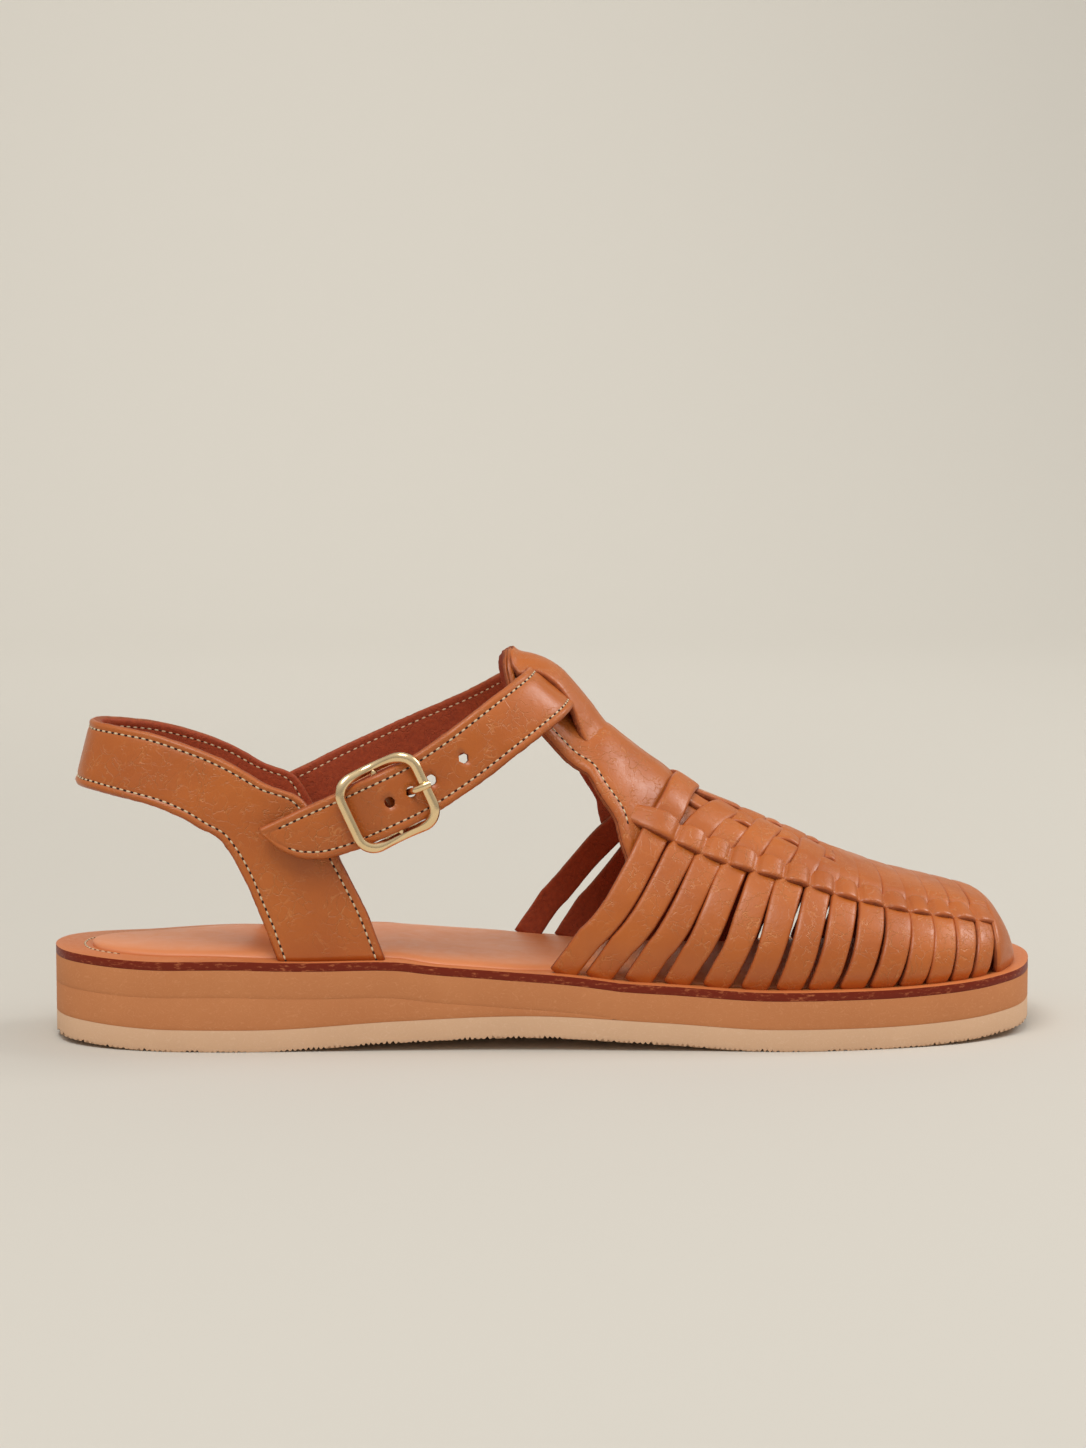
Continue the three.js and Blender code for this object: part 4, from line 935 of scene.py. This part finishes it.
def arched(table, rows):
    """Grid over a strap that arches across the instep, closer at its edges."""
    keys = [k / (len(table) - 1) for k in range(len(table))]
    at, high, half, fall = (curve(list(zip(keys, column))) for column in zip(*table))
    places = [k / (rows - 1) for k in range(rows)]
    centre = [Vector((x_at(at(u)), 0, high(u) * INSTEP_TOP)) for u in places]
    grid, margins = [], []
    for k, u in enumerate(places):
        along = centre[min(k + 13, rows - 1)] - centre[max(k - 13, 0)]
        inward = Vector((along.z, 0, -along.x)).normalized()
        inward = -inward if inward.x > 0 else inward
        reach = half(u) * MM
        near = [min(e, reach * 0.3 * (1 + i / len(STRAP_EDGES))) for i, e in enumerate(STRAP_EDGES)]
        columns = [c - reach for c in strap_columns(2 * reach, near, [i / 8 for i in range(1, 8)])]
        grid.append([centre[k] + Vector((0, c, 0)) + inward * fall(u) * MM * (c / reach) ** 2
                     for c in columns])
        margins.append([reach - abs(c) for c in columns])
    return grid, margins


def strap_shell(grid, normals, margins, over, under, edge_lift, below=0.3,
                frays=((0.14 * MM, 800), (0.224 * MM, 800)), bulge=0.2 * MM):
    """Shell of leather round a grid, from under to over its surface. Its edges are shaped by
    edge_lift, less so on the lower side, and fray by an amount and a fineness on either side."""
    faces = []
    for level, share, (fray, fineness) in ((over, 1, frays[0]), (under, -below, frays[1])):
        face = []
        for points, lines, distances in zip(grid, normals, margins):
            row = [p + n * (level + share * edge_lift(d)) for p, n, d in zip(points, lines, distances)]
            for j in (0, -1):
                out = (points[j] - points[1 if j == 0 else -2]).normalized()
                row[j] += out * fray * noise.noise(points[j] * fineness)
            face.append(row)
        faces.append(face)
    return closed_shell(*faces, bulge)


def instep_strap():
    grid, margins = arched(STRAP_ROWS, 100)
    normals = grid_normals(grid)
    leather_piece(strap_shell(grid, normals, margins, -0.04 * MM, -LAYER, cut_edge), "instep_lower_layer",
                  "woven_upper")
    leather_piece(strap_shell(grid, normals, margins, LAYER, 0, piping), "instep_outer_layer",
                  "woven_upper")
    over, over_margins = arched(BRIDGE_ROWS, 90)
    over_normals = grid_normals(over)
    half = BRIDGE_WALL / 2
    leather_piece(strap_shell(over, over_normals, over_margins, half, -half, cut_edge), "instep_bridge",
                  "woven_upper")
    for side, j in (("outer", SEAM_COLUMN), ("inner", -1 - SEAM_COLUMN)):
        sew(f"instep_seam_{side}", grid, normals, j, LAYER - THREAD_SUNK, "woven_upper", INSTEP_SEAM)
        sew(f"tab_seam_{side}", over, over_normals, j, half - THREAD_SUNK, "woven_upper", TAB_SEAM)


instep_strap()


# Heel sling: two layers of strap leather sewn together along both edges, drawn round the heel. Its
# two legs run down beside the foot into the sole.
SLING_RISE = 61 * MM
SLING_WALL = 3.0 * MM
FAR_LEG_BACK = 0.012
sling_in = curve(((0.02, 5.4), (0.1, 5), (0.148, 4.5), (0.178, 4), (0.2, 3.3), (0.22, 2.3), (0.25, 2.2)))
sling_lean = curve(((0.02, 14.5), (0.1, 12.5), (0.148, 9), (0.178, 6), (0.2, 4.4), (0.22, 3.6), (0.25, 3.5)))
sling_low = curve(((0.02, 0.69), (0.1, 0.645), (0.148, 0.54), (0.178, 0.437), (0.2, 0.247), (0.22, 0)))
# place and height of the rear edge and of the front edge, from the foot of the leg to the heel
SLING_ROWS = (
    (0.2225, 0.0, 0.3275, 0.0), (0.212, 0.12, 0.311, 0.19), (0.2, 0.247, 0.2945, 0.335),
    (0.189, 0.35, 0.278, 0.47), (0.176, 0.445, 0.262, 0.59), (0.162, 0.515, 0.244, 0.69),
    (0.145, 0.552, 0.214, 0.738), (0.122, 0.605, 0.178, 0.818), (0.09, 0.652, 0.139, 0.885),
    (0.045, 0.68, 0.08, 0.95), (0.016, 0.69, 0.03, 0.964), (0, 0.69, 0, 0.967),
)


def outline_reach():
    """Distance along the outline from the heel's tip at a share of the length, for each side."""
    step = (OUTLINE[1] - OUTLINE[0]).length
    half = len(OUTLINE) // 2
    tables = []
    for sign in (1, -1):
        rows = []
        for k in range(half - 12):
            share = share_at(OUTLINE[sign * k].x)
            if not rows or share > rows[-1][0] + 1e-5:
                rows.append((share, sign * k * step))
        tables.append(curve(rows))
    return tables, step


(OUTER_REACH, INNER_REACH), OUTLINE_STEP = outline_reach()


def on_outline(distance):
    """Point and inward direction on the sole's outline at a distance from the heel's tip."""
    place = distance / OUTLINE_STEP
    i = math.floor(place)
    a = OUTLINE[i % OUTLINE_POINTS]
    b = OUTLINE[(i + 1) % OUTLINE_POINTS]
    before = OUTLINE[(i - 3) % OUTLINE_POINTS]
    after = OUTLINE[(i + 4) % OUTLINE_POINTS]
    along = (after - before).normalized()
    return a.lerp(b, place - i), Vector((-along.y, along.x, 0))


def sling_point(distance, z, depth):
    point, inward = on_outline(distance)
    share = share_at(point.x)
    base = footbed_top(point.x)
    low = base + sling_low(share) * SLING_RISE
    lean = math.tan(math.radians(sling_lean(share))) * max(0, z + base - low)
    spot = point + inward * (sling_in(share) * MM + lean + depth)
    return Vector((spot.x, spot.y, base + z))


def heel_sling():
    rows = 150
    half = SLING_WALL / 2
    keys = [k / (len(SLING_ROWS) - 1) for k in range(len(SLING_ROWS))]
    columns = [curve(list(zip(keys, column))) for column in zip(*SLING_ROWS)]
    grid, margins = [], []
    for k in range(rows + 1):
        u = 2 * k / rows - 1
        t = 1 - abs(u)
        rear, rear_z, front, front_z = (column(t) for column in columns)
        if u > 0:
            rear, front = rear - FAR_LEG_BACK * u * u, front - FAR_LEG_BACK * u * u
        reach = OUTER_REACH if u < 0 else INNER_REACH
        low = (reach(rear), rear_z * SLING_RISE)
        high = (reach(front), front_z * SLING_RISE)
        width = math.hypot(high[0] - low[0], high[1] - low[1])
        spots = strap_columns(width, STRAP_EDGES, (0.14, 0.28, 0.42, 0.58, 0.72, 0.86))
        grid.append([sling_point(low[0] + (high[0] - low[0]) * s / width,
                                 low[1] + (high[1] - low[1]) * s / width, half) for s in spots])
        margins.append([min(s, width - s) for s in spots])
    normals = sling_normals(grid)
    leather_piece(strap_shell(grid, normals, margins, half, -half, piping, 0.6,
                              ((0.12 * MM, 800), (0.3 * MM, 600)), 0.25 * MM),
                  "sewn_heel_sling", "heel_sling")
    for name, j in (("rear", SEAM_COLUMN), ("front", -1 - SEAM_COLUMN)):
        for face, sign in (("outside", 1), ("inside", -1)):
            sew(f"sling_{name}_seam_{face}", grid, normals, j, sign * (half - THREAD_SUNK), "heel_sling")


def sling_normals(grid):
    normals = grid_normals(grid)
    centre = Vector((-0.07, 0, 0))
    for row, line in zip(grid, normals):
        for j, (point, normal) in enumerate(zip(row, line)):
            away = point - centre
            away.z = 0
            line[j] = normal if normal.dot(away) > 0 else -normal
    return normals


heel_sling()


# Ankle strap: two layers sewn along both edges, from the inner side of the sling through the
# instep's tunnel to the buckle. Its free end is cut to a curved point and lies against the sling.
STRAP_WIDTH = 15.6 * MM
STRAP_WALL = 2.2 * MM
ANKLE_REACH = 33 * MM
TAB_STRIP = 0.8 * MM
ON_SLING = 2 * GAP + STRAP_WALL / 2
ON_TAB = 2.5 * GAP + 2 * TAB_STRIP + STRAP_WALL / 2
SLOPE_TOP = Vector((0.64, 0, 0.77))
FRAME_AT = 0.331
FRAME_LENGTH = 23 * MM
FRAME_WIDTH = 21 * MM
BAR = 2.0 * MM
STRAP_BULGE = 2.6 * MM
HOLES = (0.6 * MM, 12.5 * MM, 22.5 * MM)
PRONG_HOLE = 6.6 * MM
HOLE_RADIUS = 1.45 * MM
# place, height and, on the sling, the side and how far off it lies, or else y as a share of reach
ANKLE = (
    (0.237, 0.551, 1, ON_SLING), (0.267, 0.585, 1, ON_SLING), (0.3, 0.624, 0, 0.92),
    (0.366, 0.698, 0, 0.96), (0.437, 0.781, 0, 0.84), (0.482, 0.855, 0, 0.56), (0.498, 0.886, 0, 0.29),
    (0.5012, 0.8905, 0, 0), (0.4995, 0.889, 0, -0.29), (0.489, 0.874, 0, -0.56),
    (0.444, 0.8, 0, -0.85), (0.402, 0.725, 0, -0.955), (0.3615, 0.661, 0, -0.995),
    (0.33, 0.625, 0, -1.0), (0.296, 0.583, 0, -0.985), (0.262, 0.544, -1, ON_TAB),
    (0.217, 0.492, -1, ON_TAB),
)
tip_lower = curve(((-30, -1), (-22, -0.98), (-14, -0.86), (-8, -0.56), (-3, 0.05), (0, 0.85)))


def ankle_line():
    sides = sides_of(OUTLINE)
    points = []
    for at, high, side, value in ANKLE:
        x, z = x_at(at), high * INSTEP_TOP
        y = value * ANKLE_REACH
        if side:
            outer, inner = sides(x)
            low = footbed_top(x) + sling_low(at) * SLING_RISE
            lean = math.tan(math.radians(sling_lean(at))) * max(0, z - low)
            y = (outer if side < 0 else inner) - side * (sling_in(at) * MM + lean) + side * value
        points.append(Vector((x, y, z)))
    return evenly(rounded_path(points, 60, False), 1201)


ANKLE_LINE = ankle_line()
ANKLE_STEP = (ANKLE_LINE[1] - ANKLE_LINE[0]).length
ANKLE_LENGTH = ANKLE_STEP * (len(ANKLE_LINE) - 1)


def ankle_frame(length):
    """Point on the strap's middle, with its directions along, across to the upper edge and out."""
    place = min(max(length / ANKLE_STEP, 0), len(ANKLE_LINE) - 1.001)
    i = math.floor(place)
    point = ANKLE_LINE[i].lerp(ANKLE_LINE[i + 1], place - i)
    along = (ANKLE_LINE[min(i + 4, len(ANKLE_LINE) - 1)] - ANKLE_LINE[max(i - 3, 0)]).normalized()
    sideways = min(abs(point.y) / (0.94 * ANKLE_REACH), 1) ** 1.6
    out = SLOPE_TOP * (1 - sideways) + Vector((0, math.copysign(1, point.y), 0.04)) * sideways
    out = (out - along * out.dot(along)).normalized()
    across = out.cross(along).normalized()
    return point, along, -across if across.x > 0 else across, out


FRAME_PLACE = max(i for i, p in enumerate(ANKLE_LINE) if p.x > x_at(FRAME_AT)) * ANKLE_STEP


def strap_bulge(a):
    half = FRAME_LENGTH / 2 - BAR / 2
    return STRAP_BULGE * (1 + math.cos(math.pi * a / half)) / 2 if abs(a) < half else 0


def punch(bm, centre, out, radius):
    """Round hole through the strap: the faces inside it go and its two rims are joined."""
    near = [f for f in bm.faces if ((f.calc_center_median() - centre).cross(out)).length < radius * 0.95
            and abs((f.calc_center_median() - centre).dot(out)) < 4 * MM]
    bmesh.ops.delete(bm, geom=near, context="FACES")
    rim = [e for e in bm.edges if e.is_boundary]
    for v in {v for e in rim for v in e.verts}:
        off = v.co - centre
        depth = out * off.dot(out)
        v.co = centre + depth + (off - depth).normalized() * radius
    bmesh.ops.bridge_loops(bm, edges=rim)


def ankle_strap():
    rows = 230
    grid, margins, normals = [], [], []
    for k in range(rows + 1):
        length = ANKLE_LENGTH * k / rows
        point, _, across, out = ankle_frame(length)
        point = point + out * strap_bulge(length - FRAME_PLACE)
        lower = tip_lower((length - ANKLE_LENGTH) / MM)
        high, low = STRAP_WIDTH / 2, lower * STRAP_WIDTH / 2
        width = high - low
        near = [min(e, width * 0.45 * (i + 0.2) / len(STRAP_EDGES)) for i, e in enumerate(STRAP_EDGES)]
        spots = strap_columns(width, near, (0.17, 0.34, 0.5, 0.66, 0.83))
        grid.append([point + across * (low + s) for s in spots])
        margins.append([min(s, width - s, ANKLE_LENGTH - length + 0.3 * MM) for s in spots])
        normals.append([out] * len(spots))
    half = STRAP_WALL / 2
    bm = strap_shell(grid, normals, margins, half, -half, piping, 0.5,
                     ((0.12 * MM, 800), (0.28 * MM, 600)))
    for a in (*HOLES, PRONG_HOLE):
        point, _, _, out = ankle_frame(FRAME_PLACE - a)
        punch(bm, point + out * strap_bulge(a), out, HOLE_RADIUS)
    bmesh.ops.recalc_face_normals(bm, faces=bm.faces[:])
    leather_piece(bm, "sewn_ankle_strap", "ankle_strap")
    for name, j in (("lower", SEAM_COLUMN), ("upper", -1 - SEAM_COLUMN)):
        for face, sign in (("outside", 1), ("inside", -1)):
            sew(f"strap_{name}_seam_{face}", grid, normals, j, sign * (half - THREAD_SUNK),
                "ankle_strap", slice(4, rows - 5))


ankle_strap()


# Buckle: a polished pale brass frame with a centre bar, bowed down at its middle so that the strap
# lies over the bar, and a brass prong that rests on the frame's front side.
FRAME_CORNER = 5.5 * MM
FRAME_WIRE = (2.7 * MM, 1.95 * MM)
BAR_CLEARANCE = 0.5 * MM
BAR_OUT = STRAP_WALL / 2 + BAR_CLEARANCE + BAR / 2
CENTRE_OUT = STRAP_BULGE - STRAP_WALL / 2 - 2 * GAP - TAB_STRIP - BAR / 2
PRONG = 1.6 * MM


def polished_brass():
    material, shader = new_material("polished_brass", Metallic=1)
    place = add_node(material, "ShaderNodeTexCoord").outputs["Object"]
    smear = noisy(material, place, 240, 4)
    feed(material, shader, Base_Color=mixed(material, smear, (0.86, 0.6, 0.3, 1), (0.96, 0.76, 0.47, 1)),
         Roughness=ranged(material, smear, 0.3, 0.7, 0.13, 0.24),
         Normal=bumped(material, noisy(material, place, 2600, 2), 0.05, 0.05 * MM))
    return material


BRASS = polished_brass()


def buckle_axes():
    """Along the strap towards the toe, across to its upper edge, and out."""
    point, along, across, out = ankle_frame(FRAME_PLACE)
    turned = Matrix((-along, across, out)).transposed().to_4x4()
    return Matrix.Translation(point) @ turned


BUCKLE = buckle_axes()


def wire(path, wide, high, closed):
    """Drawn wire along a path in the buckle's axes, from a grid that is rolled into a tube."""
    rows, sides = len(path), 14
    bm = bmesh.new()
    bmesh.ops.create_grid(bm, x_segments=rows if closed else rows - 1, y_segments=sides, size=1)
    count = rows if closed else rows - 1
    for v in bm.verts:
        i = round((v.co.x + 1) / 2 * count) % rows
        turn = 2 * math.pi * (v.co.y + 1) / 2
        before = path[(i - 1) % rows] if closed or i > 0 else path[i]
        after = path[(i + 1) % rows] if closed or i < rows - 1 else path[i]
        along = (after - before).normalized()
        side = along.cross(Vector((0, 0, 1)))
        side = side.normalized() if side.length > 1e-6 else Vector((0, 1, 0))
        up = side.cross(along)
        v.co = path[i] + side * math.cos(turn) * wide / 2 + up * math.sin(turn) * high / 2
    bmesh.ops.remove_doubles(bm, verts=bm.verts[:], dist=1e-6)
    open_rims = [e for e in bm.edges if e.is_boundary]
    if open_rims:
        bmesh.ops.holes_fill(bm, edges=open_rims, sides=0)
    bmesh.ops.transform(bm, matrix=BUCKLE, verts=bm.verts[:])
    bmesh.ops.recalc_face_normals(bm, faces=bm.faces[:])
    return bm


def frame_path():
    half_a = (FRAME_LENGTH - BAR) / 2
    half_b = (FRAME_WIDTH - BAR) / 2
    corner = FRAME_CORNER - BAR / 2
    turns = []
    for quarter, (a, b) in enumerate(((1, 1), (-1, 1), (-1, -1), (1, -1))):
        centre = Vector((a * (half_a - corner), b * (half_b - corner), 0))
        for k in range(13):
            angle = math.pi / 2 * (quarter + k / 12)
            turns.append(centre + Vector((math.cos(angle), math.sin(angle), 0)) * corner)
    ring = evenly(turns, 120, True)
    for p in ring:
        p.z = BAR_OUT - (BAR_OUT - CENTRE_OUT) * (1 + math.cos(math.pi * p.x / half_a)) / 2
    return ring


def buckle():
    finish_piece(wire(frame_path(), *FRAME_WIRE, True), "brass_frame", BRASS,
                 ["buckle_frame"])
    half_b = (FRAME_WIDTH - BAR) / 2
    bar = [Vector((0, -half_b + 2 * half_b * k / 12, CENTRE_OUT)) for k in range(13)]
    finish_piece(wire(bar, 0.9 * BAR, 0.9 * BAR, False), "brass_centre_bar", BRASS,
                 ["buckle_frame"])
    rest = BAR_OUT + BAR / 2 + 0.05 * MM + PRONG / 2
    route = ((1.6 * MM, CENTRE_OUT), (3.6 * MM, -1.0 * MM), (5.0 * MM, -0.6 * MM), (6.1 * MM, 0.5 * MM),
             (6.9 * MM, 2.0 * MM), (7.6 * MM, 3.4 * MM), (8.8 * MM, rest - 0.3 * MM), (10.4 * MM, rest),
             (12.0 * MM, rest - 0.15 * MM))
    points = [Vector((a, 0, n)) for a, n in route]
    prong = wire(evenly(rounded_path(points, 12, False), 50), PRONG * 1.15, PRONG, False)
    finish_piece(prong, "brass_prong", BRASS, ["buckle_prong"])


buckle()


# Buckle tab: a short doubled leather loop round the centre bar. Its tail lies between the strap and
# the sling, where it is sewn down, so that only its folded end shows inside the frame.
TAB_WIDTH = 12 * MM


def buckle_tab():
    inner = BAR / 2 + 0.1 * MM
    middle = inner + TAB_STRIP / 2
    path = []
    for k in range(17):
        angle = -math.pi / 2 + math.pi * k / 16 - math.pi
        spot = Vector((-math.cos(angle) * middle, 0, CENTRE_OUT - math.sin(angle) * middle))
        normal = Vector((-math.cos(angle), 0, -math.sin(angle)))
        path.append((BUCKLE @ spot, (BUCKLE.to_3x3() @ normal).normalized()))
    tail = []
    depth = STRAP_WALL / 2 + GAP + TAB_STRIP
    for a in (5, 8, 11, 14, 17, 19.5, 21.5):
        point, _, _, out = ankle_frame(FRAME_PLACE + a * MM)
        tail.append((point - out * depth, out))
    for name, rows, wall in (("tail", tail, 2 * TAB_STRIP), ("fold", path, TAB_STRIP)):
        halves = [TAB_WIDTH / 2] * len(rows)
        leather_piece(leather_strip(rows, halves, wall), f"buckle_tab_{name}", "buckle_tab")


buckle_tab()
